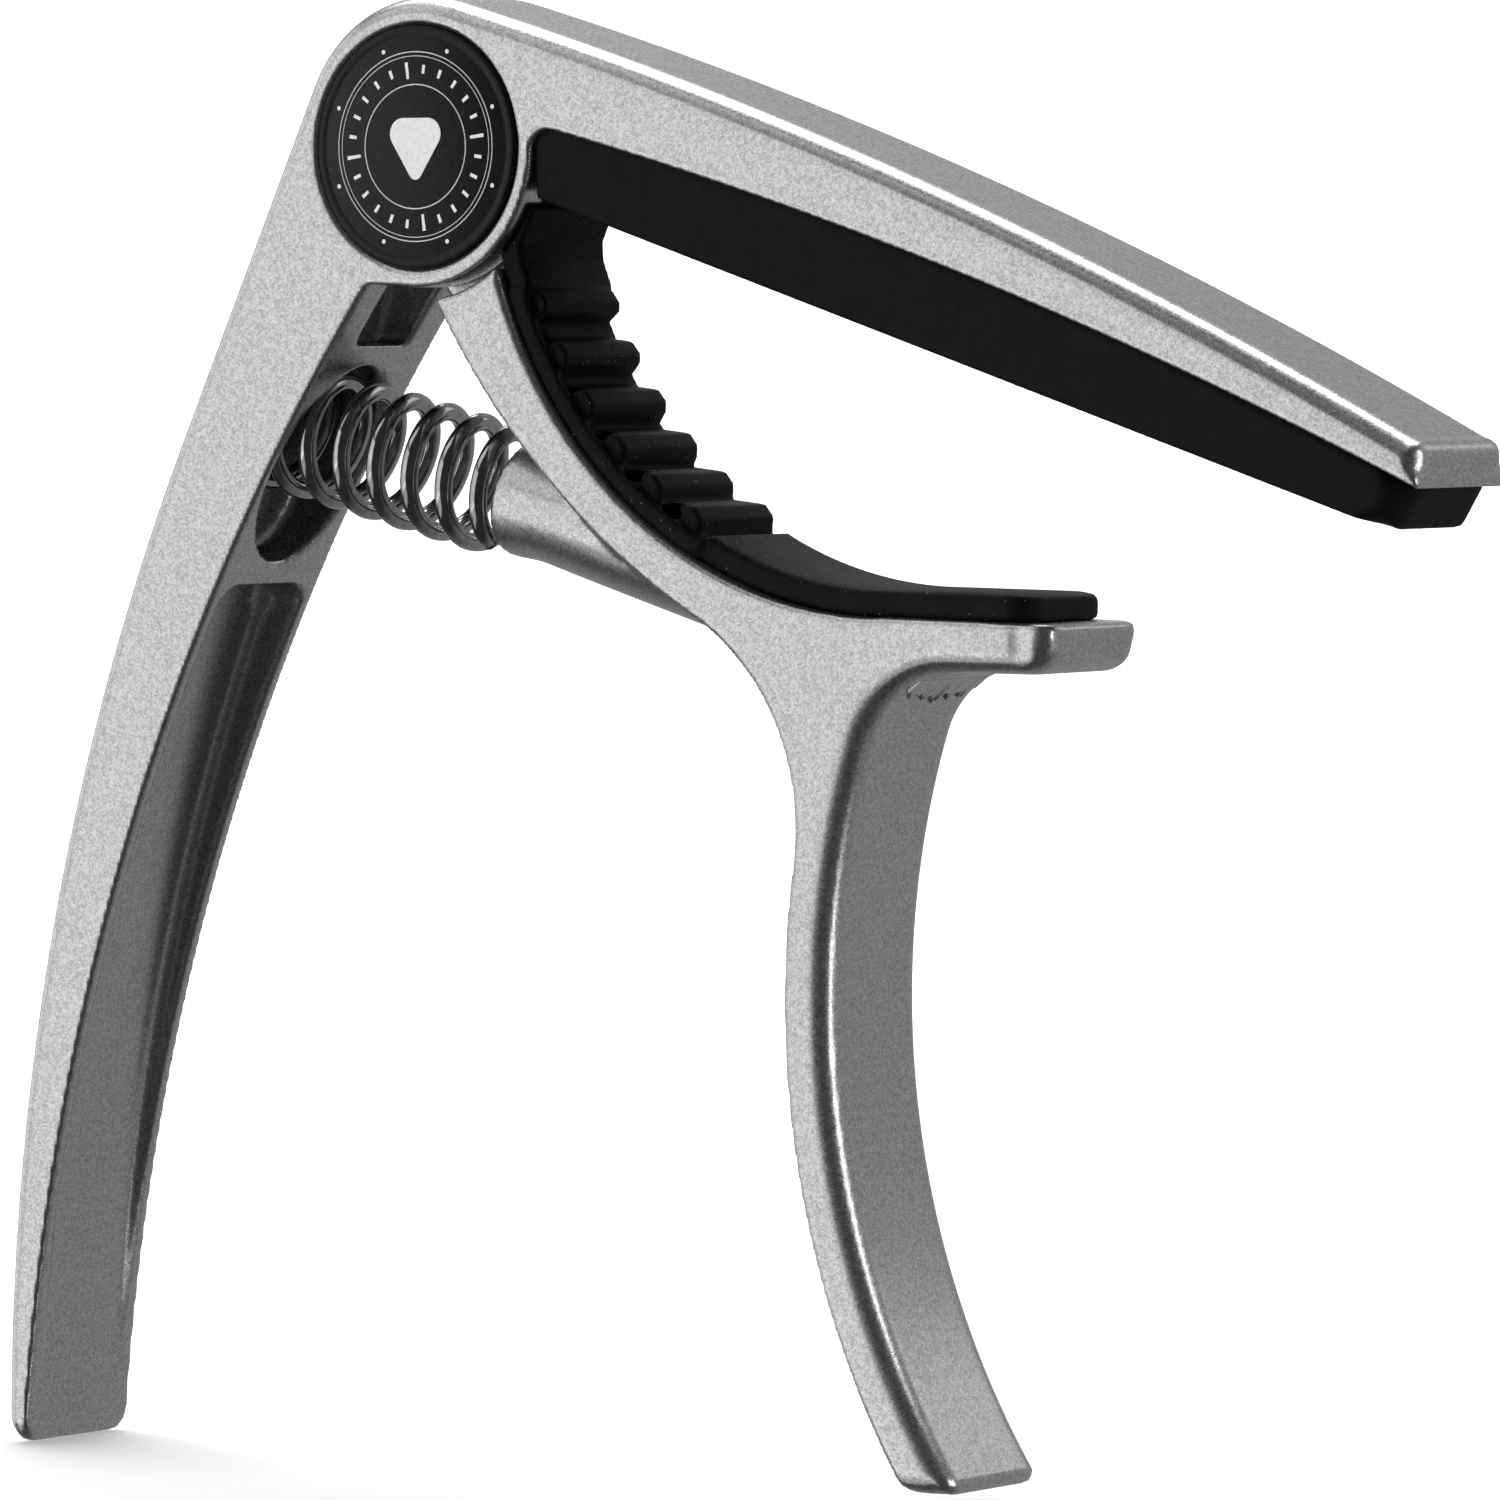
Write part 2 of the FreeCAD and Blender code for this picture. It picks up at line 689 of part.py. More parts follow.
def build_neck_cushion():
    """The rubber on the jaw: along the neck curve, up past the hub and out over the flat lip."""
    body = new_body("neck_cushion")
    back = cell("cushion_back_radius")
    tongue = cell("cushion_tongue_radius")
    outer = cell("cushion_radius")
    meet_inner = circles_meet(Vector(), back, NECK_CENTRE, cell("neck_radius"), -1)
    meet_outer = circles_meet(Vector(), tongue, NECK_CENTRE, outer, -1)
    outer_bottom = NECK_CENTRE - Vector(RIBS_END, math.sqrt(outer**2 - RIBS_END**2), 0)
    side = new_sketch(body, "cushion_side")
    start = polar(back, -28)
    steps = [
        (meet_inner, "-cushion_back_radius"),
        (NECK_CENTRE - Vector(0, cell("neck_radius"), 0), "neck_radius"),
        (LIP_LOW, ""),
        (LIP_END, ""),
        (LIP_START, ""),
        (outer_bottom, ""),
        (meet_outer, "-cushion_radius"),
        (polar(tongue, -27), "cushion_tongue_radius"),
        (start, ""),
    ]
    add_outline(side, start, steps)
    pad_both_ways(body, "cushion_pad", side, "dims.cushion_width")
    return settle(body)


def build_spring():
    """A plain helix between its two seats, along the spring's own axis."""
    body = new_body("spring")
    wire = new_sketch(body, "wire_circle")
    add_circle(wire, "wire_radius", Vector(cell("spring_mean_radius"), 0, 0))
    helix = add_feature(body, "AdditiveHelix", "coil", wire)
    helix.ReferenceAxis = (wire, ["V_Axis"])
    helix.Mode = "pitch-height-angle"
    helix.setExpression("Pitch", "dims.spring_pitch")
    between_seats = "dims.spring_seat_rear + dims.spring_seat_front"
    helix.setExpression("Height", f"{between_seats} - 2 * dims.wire_radius - 2 * dims.seat_gap")
    doc.recompute()
    slope = cell("spring_slope")
    turn = Rotation(Vector(0, 1, 0), 90 + slope)
    along = turn.multVec(Vector(0, 0, 1))
    across = Rotation(Vector(0, 1, 0), slope).multVec(Vector(0, 0, 1))
    first_turn = -cell("spring_seat_rear") + cell("wire_radius") + cell("seat_gap")
    place = along * first_turn - across * cell("spring_axis_drop")
    hinge = Vector(cell("pivot_x"), 0, cell("pivot_z"))
    body.Placement = Placement(hinge + place, turn)
    return body


def build_turned(name, corners):
    """A piece turned about the hinge axis. Each corner is a radius and a place along Y, as expressions."""
    body = new_body(name)
    half = new_sketch(body, f"{name}_half", "XY_Plane")
    values = [Vector(half.evalExpression(r), half.evalExpression(y), 0) for r, y in corners]
    for index, point in enumerate(values):
        following = values[(index + 1) % len(values)]
        half.addGeometry(Part.LineSegment(point, following))
    count = len(corners)
    for index, (radius, place) in enumerate(corners):
        half.addConstraint(Sketcher.Constraint("Coincident", index, 2, (index + 1) % count, 1))
        value = values[index]
        if abs(value.x) > 1e-6:
            bind_constraint(half, Sketcher.Constraint("DistanceX", index, 1, value.x), radius)
        else:
            half.addConstraint(Sketcher.Constraint("PointOnObject", index, 1, -2))
        bind_constraint(half, Sketcher.Constraint("DistanceY", index, 1, value.y), place)
    revolution = add_feature(body, "Revolution", f"{name}_turned", half)
    revolution.ReferenceAxis = (half, ["V_Axis"])
    revolution.Angle = 360
    doc.recompute()
    return body


def hinge_pieces():
    """Barrel, screw, bush and washers, from the pin's axis outwards."""
    seat = "dims.casting_width / 2 - dims.badge_recess_depth - dims.head_recess_depth"
    head_top = f"{seat} + dims.head_thickness"
    barrel = build_turned(
        "pivot_barrel",
        [
            ("0", f"-({head_top})"),
            ("dims.head_radius", f"-({head_top})"),
            ("dims.head_radius", f"-({seat})"),
            ("dims.barrel_radius", f"-({seat})"),
            ("dims.barrel_radius", "dims.barrel_end"),
            ("dims.thread_bore_radius", "dims.barrel_end"),
            ("dims.thread_bore_radius", "-dims.thread_bore_end"),
            ("0", "-dims.thread_bore_end"),
        ],
    )
    screw = build_turned(
        "pivot_screw",
        [
            ("0", "-dims.screw_end"),
            ("dims.screw_radius", "-dims.screw_end"),
            ("dims.screw_radius", seat),
            ("dims.head_radius", seat),
            ("dims.head_radius", head_top),
            ("0", head_top),
        ],
    )
    cut_hex_socket(screw)
    bush_half = "dims.knuckle_width / 2"
    bush = build_turned(
        "pivot_bush",
        [
            ("dims.bush_bore_radius", f"-{bush_half}"),
            ("dims.bush_radius", f"-{bush_half}"),
            ("dims.bush_radius", bush_half),
            ("dims.bush_bore_radius", bush_half),
        ],
    )
    pieces = [barrel, screw, bush]
    for side_name, sign in (("front", "-"), ("rear", "")):
        inner = f"{sign}({bush_half})"
        outer = f"{sign}({bush_half} + dims.washer_thickness)"
        pieces.append(
            build_turned(
                f"{side_name}_thrust_washer",
                [
                    ("dims.washer_bore_radius", inner),
                    ("dims.washer_radius", inner),
                    ("dims.washer_radius", outer),
                    ("dims.washer_bore_radius", outer),
                ],
            )
        )
    return [settle(piece) for piece in pieces]


def cut_hex_socket(body):
    half = cell("casting_width") / 2
    top = half - cell("badge_recess_depth") - cell("head_recess_depth") + cell("head_thickness")
    lift = Placement(Vector(0, 0, -top), Rotation())
    socket = new_sketch(body, "hex_socket_outline", offset=lift)
    corner_radius = cell("hex_across_flats") / math.sqrt(3)
    corners = [polar(corner_radius, 60 * index) for index in range(6)]
    steps = [(corner, "") for corner in corners[1:] + corners[:1]]
    add_outline(socket, corners[0], steps)
    pocket_down(body, "hex_socket", socket, "dims.hex_depth", True)


def build_disc(name, radius_cell, thickness_cell, low_y):
    """A flat disc on the hinge axis, from low_y towards +Y."""
    disc = doc.addObject("Part::Cylinder", name)
    disc.Label = name
    disc.setExpression("Radius", f"dims.{radius_cell}")
    disc.setExpression("Height", f"dims.{thickness_cell}")
    across = Rotation(Vector(1, 0, 0), -90)
    disc.Placement = Placement(Vector(cell("pivot_x"), low_y, cell("pivot_z")), across)
    return disc


def build_badges():
    floor = cell("casting_width") / 2 - cell("badge_recess_depth")
    film = cell("adhesive_thickness")
    badge = cell("badge_thickness")
    return [
        build_disc("front_badge", "badge_radius", "badge_thickness", -floor - film - badge),
        build_disc("front_badge_adhesive", "adhesive_radius", "adhesive_thickness", -floor - film),
        build_disc("rear_badge", "badge_radius", "badge_thickness", floor + film),
        build_disc("rear_badge_adhesive", "adhesive_radius", "adhesive_thickness", floor),
    ]


def check_document():
    doc.recompute()
    for item in doc.Objects:
        if "Invalid" in item.State or "Error" in item.State:
            raise RuntimeError(f"{item.Name}: {item.State}")


def write_parts(pieces):
    for piece in pieces:
        shape = piece.Shape
        if shape.isNull() or not shape.isValid() or not shape.Solids:
            raise RuntimeError(f"{piece.Label} has no valid solid")
    os.makedirs("parts", exist_ok=True)
    for piece in pieces:
        piece.Shape.exportStep(os.path.join("parts", f"{piece.Label}.step"))
        print(f"{piece.Label}: {len(piece.Shape.Solids)} solid, {piece.Shape.Volume:.1f} mm3")


def main():
    pieces = [build_upper_arm(), build_lower_arm()]
    pieces += [build_string_pad(), build_neck_cushion(), build_spring()]
    pieces += hinge_pieces()
    pieces += build_badges()
    check_document()
    write_parts(pieces)


main()
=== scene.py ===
import json
import math
import random

import bmesh
import bpy
import numpy as np
from mathutils import Matrix, Vector


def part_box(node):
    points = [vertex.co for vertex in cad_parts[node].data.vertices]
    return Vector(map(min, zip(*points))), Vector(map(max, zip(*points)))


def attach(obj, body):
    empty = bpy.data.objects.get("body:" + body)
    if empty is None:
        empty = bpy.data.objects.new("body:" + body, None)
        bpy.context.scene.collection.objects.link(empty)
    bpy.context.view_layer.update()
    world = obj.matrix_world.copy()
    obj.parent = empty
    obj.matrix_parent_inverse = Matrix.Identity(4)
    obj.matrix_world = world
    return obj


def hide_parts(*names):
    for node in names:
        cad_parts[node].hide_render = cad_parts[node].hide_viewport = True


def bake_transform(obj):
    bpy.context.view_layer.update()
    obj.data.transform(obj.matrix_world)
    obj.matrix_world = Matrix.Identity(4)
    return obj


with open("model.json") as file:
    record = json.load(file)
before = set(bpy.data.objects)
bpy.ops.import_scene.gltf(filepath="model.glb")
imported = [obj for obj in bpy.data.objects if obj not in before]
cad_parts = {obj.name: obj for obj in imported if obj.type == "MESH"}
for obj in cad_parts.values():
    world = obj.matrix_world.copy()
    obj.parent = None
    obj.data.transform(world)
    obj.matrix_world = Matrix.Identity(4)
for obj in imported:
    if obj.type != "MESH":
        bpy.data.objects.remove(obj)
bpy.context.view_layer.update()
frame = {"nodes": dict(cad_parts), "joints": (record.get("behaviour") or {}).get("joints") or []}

# Looks of a spring guitar capo. Castings and rubber are signed distance fields in millimetres about
# the hinge axis (x along the string bar, y through the thickness, z up), meshed and set at the hinge.
# A side view is a list of (x, z) points, and an outline's step is an end point and its arc's radius.

MM = 0.001
HINGE = Vector(frame["joints"][0]["pos_m"])
CASTING_LOW, CASTING_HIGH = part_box("upper_arm")
HALF_WIDTH = (CASTING_HIGH[1] - CASTING_LOW[1]) / 2 / MM

# castings: radii of the hub and of edge roundings, corners of the bar and feet, and the recesses
HUB_RADIUS = 8.6
CHEEK_RADIUS = 8.05
OUTER_ROUND = 1.5
FRONT_ROUND = 1.6
CRISP_ROUND = 0.25
FOOT_CORNER = 1.6
BAR_TIP = (66.5, -16.4)
BAR_TIP_LOW = (66.5, -18.9)
BAR_TOP_ARC = 333
BAR_UNDER_ARC = 335
REAR_ARC = 139
REAR_SWEEP = math.radians(24.6)
TOE_RADIUS = 1.7
REAR_INNER_TOP = (-3.45, -7.85)
REAR_INNER_ARC = 133.7
SLOT_HALF = 2.5
SLOT_RADIUS = 6.6
SLOT_BOTTOM = -11.3
POCKET_HIGH, POCKET_WIDE = 6.3, 4.25
POCKET_DROP = 20.2
KNUCKLE_HALF = 2.2
BADGE_RECESS = (7.0, 0.6)
HEAD_RECESS = (4.0, 1.5)
BARREL_BORE = 2.52
KNUCKLE_BORE = 3.22
CHANNEL_HALF = 4.0
CHANNEL_TOP = -25.4
CHANNEL_END = -72.5
CHANNEL_ARC = 140
REAR_FOOT = -76.33
FRONT_FOOT = -75.3
NECK_CENTRE = (31.5, 0.65)
NECK_RADIUS = 27.0
SHOULDER_RADIUS = 8.75
UNDER_CENTRE = (42.1, 14.4)
UNDER_RADIUS = 47
FRONT_CENTRE = (75.3, -48.0)
FRONT_INNER, FRONT_OUTER = 47, 50
CROTCH_RADIUS = 13.5
FORK_RADIUS = 5.5
JAW_FLOOR = -29.4
JAW_TIP = (43.2, -26.6)
JAW_CORNER = 1.7
DENT = (41.0, 0.55)
KNUCKLE_RADIUS = 6.2
KNUCKLE_REACH = 8.0
BOSS_LENGTH = 19

# spring
SPRING_SLOPE = math.radians(13.2)
SPRING_DROP = 18.54
SPRING_SEATS = (-10.14, 8.76)
COIL_RADIUS = 3.42
WIRE_RADIUS = 0.53
SEAT_GAP = 0.04
COIL_PITCH = 2.5
COIL_START = math.radians(200)

# the body that carries each replaced node
BODIES = {
    "upper_arm": "upper_arm",
    "string_pad": "upper_arm",
    "front_badge": "upper_arm",
    "rear_badge": "upper_arm",
    "lower_arm": "lower_arm",
    "neck_cushion": "lower_arm",
}

# a distance beyond every solid
FAR = 1e3

# rubber
PAD_HALF = 4.6
PAD_END_TOP = 66.0
PAD_END_LOW = (64.5, -21.15)
CUSHION_HALF = 4.3
CUSHION_DETAIL = 0.72
CUSHION_BACK = 8.15
CUSHION_FACE = 26.4
CUSHION_TIP = 41.3
RIB_HALF = 3.75
RIB_REACH, RIB_FIRST, RIB_STEP = 25.08, 202.4, 7.55
RIB_COUNT, SCOOP_COUNT = 6, 5

# badges
BADGE_RADIUS = 6.92
BADGE_LOW = HALF_WIDTH - 0.5
BADGE_TOP = BADGE_LOW + 0.4
INK_LOW = BADGE_TOP - 0.004
INK = 0.012


# ---------------------------------------------------------------- outlines in the side view


def polar(radius, degrees, centre=(0.0, 0.0)):
    angle = math.radians(degrees)
    return centre[0] + radius * math.cos(angle), centre[1] + radius * math.sin(angle)


def circles_meet(centre_a, radius_a, centre_b, radius_b, side):
    """A point common to two circles: side 1 is left of the line from a to b, -1 right."""
    a, b = np.array(centre_a, float), np.array(centre_b, float)
    gap = np.linalg.norm(b - a)
    along = (b - a) / gap
    reach = (gap**2 + radius_a**2 - radius_b**2) / (2 * gap)
    rise = math.sqrt(radius_a**2 - reach**2)
    return tuple(a + along * reach + np.array([-along[1], along[0]]) * rise * side)


def towards(centre, point, radius):
    ray = np.array(point, float) - centre
    return tuple(np.array(centre) + ray / np.linalg.norm(ray) * radius)


def arc(start, end, radius):
    """Points of an arc under half a turn, without its start: radius > 0 turns left, < 0 right."""
    start, end = np.array(start, float), np.array(end, float)
    chord = end - start
    length = np.linalg.norm(chord)
    left = np.array([-chord[1], chord[0]]) / length
    leg = math.sqrt(radius**2 - (length / 2) ** 2)
    centre = (start + end) / 2 + left * math.copysign(leg, radius)
    sweep = 2 * math.asin(length / 2 / abs(radius)) * math.copysign(1, radius)
    first = math.atan2(start[1] - centre[1], start[0] - centre[0])
    count = max(2, math.ceil(abs(sweep) / math.sqrt(8 * 0.0008 / abs(radius))))
    angles = first + sweep * np.arange(1, count + 1) / count
    return [(centre[0] + abs(radius) * math.cos(t), centre[1] + abs(radius) * math.sin(t)) for t in angles]


def outline(start, steps):
    """A chain of points from start. A step is an end point and the radius of its arc, or 0."""
    points = [tuple(start)]
    for end, radius in steps:
        points += arc(points[-1], end, radius) if radius else [tuple(end)]
    return points


def chain_distance(x, z, points, closed=False):
    """Unsigned distance to a chain of straight pieces."""
    ends = points[1:] + points[:1] if closed else points[1:]
    nearest = np.full(np.broadcast(x, z).shape, FAR**2)
    for (ax, az), (bx, bz) in zip(points, ends):
        ux, uz = bx - ax, bz - az
        size = ux * ux + uz * uz
        if size < 1e-12:
            continue
        t = np.clip(((x - ax) * ux + (z - az) * uz) / size, 0, 1)
        np.minimum(nearest, (x - ax - t * ux) ** 2 + (z - az - t * uz) ** 2, out=nearest)
    return np.sqrt(nearest)


def region(x, z, points):
    """Signed distance to a closed outline, negative inside."""
    inside = np.zeros(np.broadcast(x, z).shape, bool)
    for (ax, az), (bx, bz) in zip(points, points[1:] + points[:1]):
        if az == bz:
            continue
        crosses = (az > z) != (bz > z)
        inside ^= crosses & (x < (bx - ax) * (z - az) / (bz - az) + ax)
    distance = chain_distance(x, z, points, closed=True)
    return np.where(inside, -distance, distance)


# ---------------------------------------------------------------- fields


def smooth_max(a, b, k):
    h = np.clip(1 - np.abs(a - b) / k, 0, 1)
    return np.maximum(a, b) + h * h * k / 4


def smooth_min(a, b, k):
    return -smooth_max(-a, -b, k)


def extrude(flat, y, half, rounding):
    """A side-view region made half to each side of y = 0, with its long edges rounded."""
    across = np.abs(y) - half + rounding
    along = flat + rounding
    outside = np.hypot(np.maximum(along, 0), np.maximum(across, 0))
    return np.minimum(np.maximum(along, across), 0) + outside - rounding


def fade(value, low, high):
    t = np.clip((value - low) / (high - low), 0, 1)
    return t * t * (3 - 2 * t)


def spring_axes(x, z):
    """Distance along the spring's axis, and distance above it."""
    along = x * math.cos(SPRING_SLOPE) - z * math.sin(SPRING_SLOPE)
    above = x * math.sin(SPRING_SLOPE) + z * math.cos(SPRING_SLOPE)
    return along, above


def cylinder_void(x, y, z, radius, depth):
    """A round recess in both sides of the hub."""
    return np.maximum(np.hypot(x, z) - radius, HALF_WIDTH - depth - np.abs(y))


def foot_corners(y, z, bottom):
    """Everything above a handle's foot, with its two lower corners rounded."""
    return extrude(bottom - z, y, HALF_WIDTH, FOOT_CORNER)


def upper_arm_outlines():
    """The upper arm's outer side from the bar's tip to the rear foot, and its inner side back."""
    bar_centre = circles_meet((0, 0), BAR_TOP_ARC - HUB_RADIUS, BAR_TIP, BAR_TOP_ARC, -1)
    leave = polar(HUB_RADIUS, 155)
    bend = tuple(np.array(leave) + 22.6 * np.array(polar(1, 245)))
    centre = np.array(bend) + REAR_ARC * np.array(polar(1, 335))
    spoke = np.array(bend) - centre
    cos_sweep, sin_sweep = math.cos(REAR_SWEEP), math.sin(REAR_SWEEP)
    turned = (spoke[0] * cos_sweep - spoke[1] * sin_sweep, spoke[0] * sin_sweep + spoke[1] * cos_sweep)
    foot = tuple(centre + turned)
    toe = tuple(np.array(towards(foot, centre, TOE_RADIUS)) - (0, TOE_RADIUS))
    tip_shoulder = (BAR_TIP[0] - 0.8, BAR_TIP[1] + 0.24)
    outer_steps = [
        ((BAR_TIP[0], BAR_TIP[1] - 0.75), 0),
        (tip_shoulder, 0.85),
        (towards((0, 0), (-bar_centre[0], -bar_centre[1]), HUB_RADIUS), BAR_TOP_ARC),
        (leave, HUB_RADIUS),
        (bend, 0),
        (foot, REAR_ARC),
        (toe, TOE_RADIUS),
    ]
    root = polar(CHEEK_RADIUS, 10.5)
    inner_steps = [
        (REAR_INNER_TOP, -REAR_INNER_ARC),
        (polar(CHEEK_RADIUS, 264), 0),
        (polar(CHEEK_RADIUS, 0), CHEEK_RADIUS),
        ((root[0] + 1.25, root[1] - 0.55), -1.35),
        (BAR_TIP_LOW, -BAR_UNDER_ARC),
    ]
    return outline(BAR_TIP_LOW, outer_steps), outline(toe, inner_steps)


def cheek_slot(x, y, z):
    """The gap between the hub's two cheeks, where the knuckle turns."""
    slot = outline(
        polar(SLOT_RADIUS, -18),
        [
            (polar(SLOT_RADIUS, 90), SLOT_RADIUS),
            (polar(SLOT_RADIUS, 205), SLOT_RADIUS),
            ((-8.1, SLOT_BOTTOM), 0),
            ((12.0, SLOT_BOTTOM), 0),
            ((9.3, -3.4), 0),
        ],
    )
    return extrude(region(x, z, slot), y, SLOT_HALF, 0.5)


def spring_pocket(x, y, z):
    """The oval pocket in the rear handle, whose flat end is the spring's seat."""
    along, above = spring_axes(x, z)
    level = above + POCKET_DROP
    ratio = np.sqrt((y / POCKET_WIDE) ** 2 + (level / POCKET_HIGH) ** 2)
    slope = np.sqrt((y / POCKET_WIDE**2) ** 2 + (level / POCKET_HIGH**2) ** 2) + 1e-6
    return smooth_max(ratio * (ratio - 1) / slope, SPRING_SEATS[0] - along, 0.9)


def handle_channel(x, y, z, inner):
    """The long channel down the rear handle's inner side, which runs out near the foot."""
    runs_out = min(inner, key=lambda point: abs(point[1] - CHANNEL_END))
    steps = [((-17.4, CHANNEL_TOP), 0), (runs_out, CHANNEL_ARC), ((runs_out[0] + 8, runs_out[1]), 0)]
    corner = 0.75 + 0.65 * fade(z, -27.8, -26.3)
    return extrude(region(x, z, outline((-10.0, CHANNEL_TOP), steps)), y, CHANNEL_HALF, corner)


def upper_arm_field(x, y, z):
    outer, inner = upper_arm_outlines()
    flat = region(x, z, outer + inner[1:-1])
    outward = fade(chain_distance(x, z, inner), 0.2, 1.1)
    solid = extrude(flat, y, HALF_WIDTH, CRISP_ROUND + (OUTER_ROUND - CRISP_ROUND) * outward)
    solid = smooth_max(solid, -cheek_slot(x, y, z), 0.4)
    solid = smooth_max(solid, -spring_pocket(x, y, z), 0.45)
    solid = smooth_max(solid, -handle_channel(x, y, z, inner), 0.25)
    solid = smooth_max(solid, -cylinder_void(x, y, z, *BADGE_RECESS), 0.45)
    solid = np.maximum(solid, -cylinder_void(x, y, z, *HEAD_RECESS))
    solid = smooth_max(solid, foot_corners(y, z, REAR_FOOT), 0.3)
    return np.maximum(solid, BARREL_BORE - np.hypot(x, z))


def handle_point(radius, rise):
    """Where a circle about the front handle's centre passes a height above the foot, on its left."""
    height = FRONT_FOOT + rise - FRONT_CENTRE[1]
    return polar(radius, 180 - math.degrees(math.asin(height / radius)), FRONT_CENTRE)


def handle_foot(radius, shift):
    """The foot's corner at that circle, moved sideways to make room for its rounding."""
    drop = FRONT_FOOT - FRONT_CENTRE[1]
    return FRONT_CENTRE[0] - math.sqrt(radius**2 - drop**2) + shift, FRONT_FOOT


def lower_arm_points():
    fork_height = JAW_FLOOR - FORK_RADIUS
    reach = math.sqrt((FRONT_INNER - FORK_RADIUS) ** 2 - (fork_height - FRONT_CENTRE[1]) ** 2)
    fork_centre = (FRONT_CENTRE[0] - reach, fork_height)
    to_under, to_front = UNDER_RADIUS + CROTCH_RADIUS, FRONT_OUTER + CROTCH_RADIUS
    crotch_centre = circles_meet(UNDER_CENTRE, to_under, FRONT_CENTRE, to_front, -1)
    return {
        "shoulder_left": circles_meet((0, 0), SHOULDER_RADIUS, UNDER_CENTRE, UNDER_RADIUS, -1),
        "shoulder_right": circles_meet((0, 0), SHOULDER_RADIUS, NECK_CENTRE, NECK_RADIUS, -1),
        "neck_bottom": (NECK_CENTRE[0], NECK_CENTRE[1] - NECK_RADIUS),
        "jaw_tip_bottom": (JAW_TIP[0] - 0.1, JAW_FLOOR + 1.7),
        "jaw_tip_under": (JAW_TIP[0] - 1.9, JAW_FLOOR),
        "fork_centre": fork_centre,
        "fork_right": (fork_centre[0], JAW_FLOOR),
        "fork_left": towards(FRONT_CENTRE, fork_centre, FRONT_INNER),
        "foot_right_up": handle_point(FRONT_INNER, 0.9),
        "foot_right": handle_foot(FRONT_INNER, -0.9),
        "foot_left": handle_foot(FRONT_OUTER, 0.7),
        "foot_left_up": handle_point(FRONT_OUTER, 0.9),
        "crotch_low": towards(FRONT_CENTRE, crotch_centre, FRONT_OUTER),
        "crotch_high": towards(UNDER_CENTRE, crotch_centre, UNDER_RADIUS),
    }


def lower_arm_outlines():
    """The lower arm's outer side from the jaw's tip to the front foot, and its inner side back."""
    at = lower_arm_points()
    outer_steps = [
        (at["jaw_tip_bottom"], 0),
        (at["jaw_tip_under"], -1.9),
        (at["fork_right"], 0),
        (at["fork_left"], FORK_RADIUS),
        (at["foot_right_up"], FRONT_INNER),
        (at["foot_right"], -1.1),
        (at["foot_left"], 0),
    ]
    inner_steps = [
        (at["foot_left_up"], -1.3),
        (at["crotch_low"], -FRONT_OUTER),
        (at["crotch_high"], CROTCH_RADIUS),
        (at["shoulder_left"], -UNDER_RADIUS),
        (at["shoulder_right"], SHOULDER_RADIUS),
        (at["neck_bottom"], NECK_RADIUS),
        (JAW_TIP, 0),
    ]
    return outline(JAW_TIP, outer_steps), outline(at["foot_left"], inner_steps)


def spring_boss(x, y, z):
    """The round boss that carries the spring: waisted behind its seat, then widening into the jaw."""
    along, above = spring_axes(x, z)
    run = along - SPRING_SEATS[1]
    widening = 0.065 * np.clip(run, 0, 20)
    high = 3.4 - 0.3 * fade(run, 0, 3) + widening - 1.2 * fade(run, 14.5, BOSS_LENGTH)
    wide = 3.6 + 0.95 * fade(run, -1, 9)
    ratio = np.sqrt((y / wide) ** 2 + ((above + SPRING_DROP) / high) ** 2)
    boss = smooth_max(high * (ratio - 1), -run, 0.3)
    return smooth_max(boss, run - BOSS_LENGTH, 0.3)


def knuckle_plate(x, y, z):
    """The plate that turns between the cheeks."""
    knuckle = outline(
        polar(KNUCKLE_RADIUS, -25),
        [
            (polar(KNUCKLE_RADIUS, 90), KNUCKLE_RADIUS),
            (polar(KNUCKLE_RADIUS, 200), KNUCKLE_RADIUS),
            (polar(KNUCKLE_RADIUS, 256), KNUCKLE_RADIUS),
            ((2.7, -11.4), 0),
            ((6.3, -10.4), 0),
            (polar(KNUCKLE_REACH, -49), 0),
            (polar(KNUCKLE_REACH, -29), KNUCKLE_REACH),
        ],
    )
    return extrude(region(x, z, knuckle), y, KNUCKLE_HALF, 0.2)


def lower_arm_field(x, y, z):
    outer, inner = lower_arm_outlines()
    flat = region(x, z, outer + inner[1:-1])
    outward = fade(chain_distance(x, z, inner), 0.25, 1.3)
    solid = extrude(flat, y, HALF_WIDTH, CRISP_ROUND + (FRONT_ROUND - CRISP_ROUND) * outward)
    solid = np.minimum(solid, spring_boss(x, y, z))
    solid = np.minimum(solid, knuckle_plate(x, y, z))
    reach = np.hypot(x - NECK_CENTRE[0], z - NECK_CENTRE[1])
    past_neck = np.where(x > NECK_CENTRE[0], -FAR, NECK_RADIUS - reach)
    solid = smooth_max(solid, past_neck, 0.2)
    solid = smooth_max(solid, foot_corners(y, z, FRONT_FOOT), 0.3)
    solid = smooth_max(solid, extrude(x - JAW_TIP[0], y, HALF_WIDTH, JAW_CORNER), 0.6)
    dent = np.hypot(x - DENT[0], (np.abs(y) - HALF_WIDTH - 0.25) * 1.2) - DENT[1]
    solid = smooth_max(solid, -np.maximum(dent, z + 26.9), 0.5)
    return np.maximum(solid, KNUCKLE_BORE - np.hypot(x, z))


def bar_under(x):
    """Height of the bar's underside at x."""
    start = np.array(polar(CHEEK_RADIUS, 10.5))
    end = np.array(BAR_TIP_LOW)
    chord = end - start
    length = np.linalg.norm(chord)
    left = np.array([-chord[1], chord[0]]) / length
    centre = (start + end) / 2 - left * math.sqrt(BAR_UNDER_ARC**2 - (length / 2) ** 2)
    return centre[1] + math.sqrt(BAR_UNDER_ARC**2 - (x - centre[0]) ** 2)


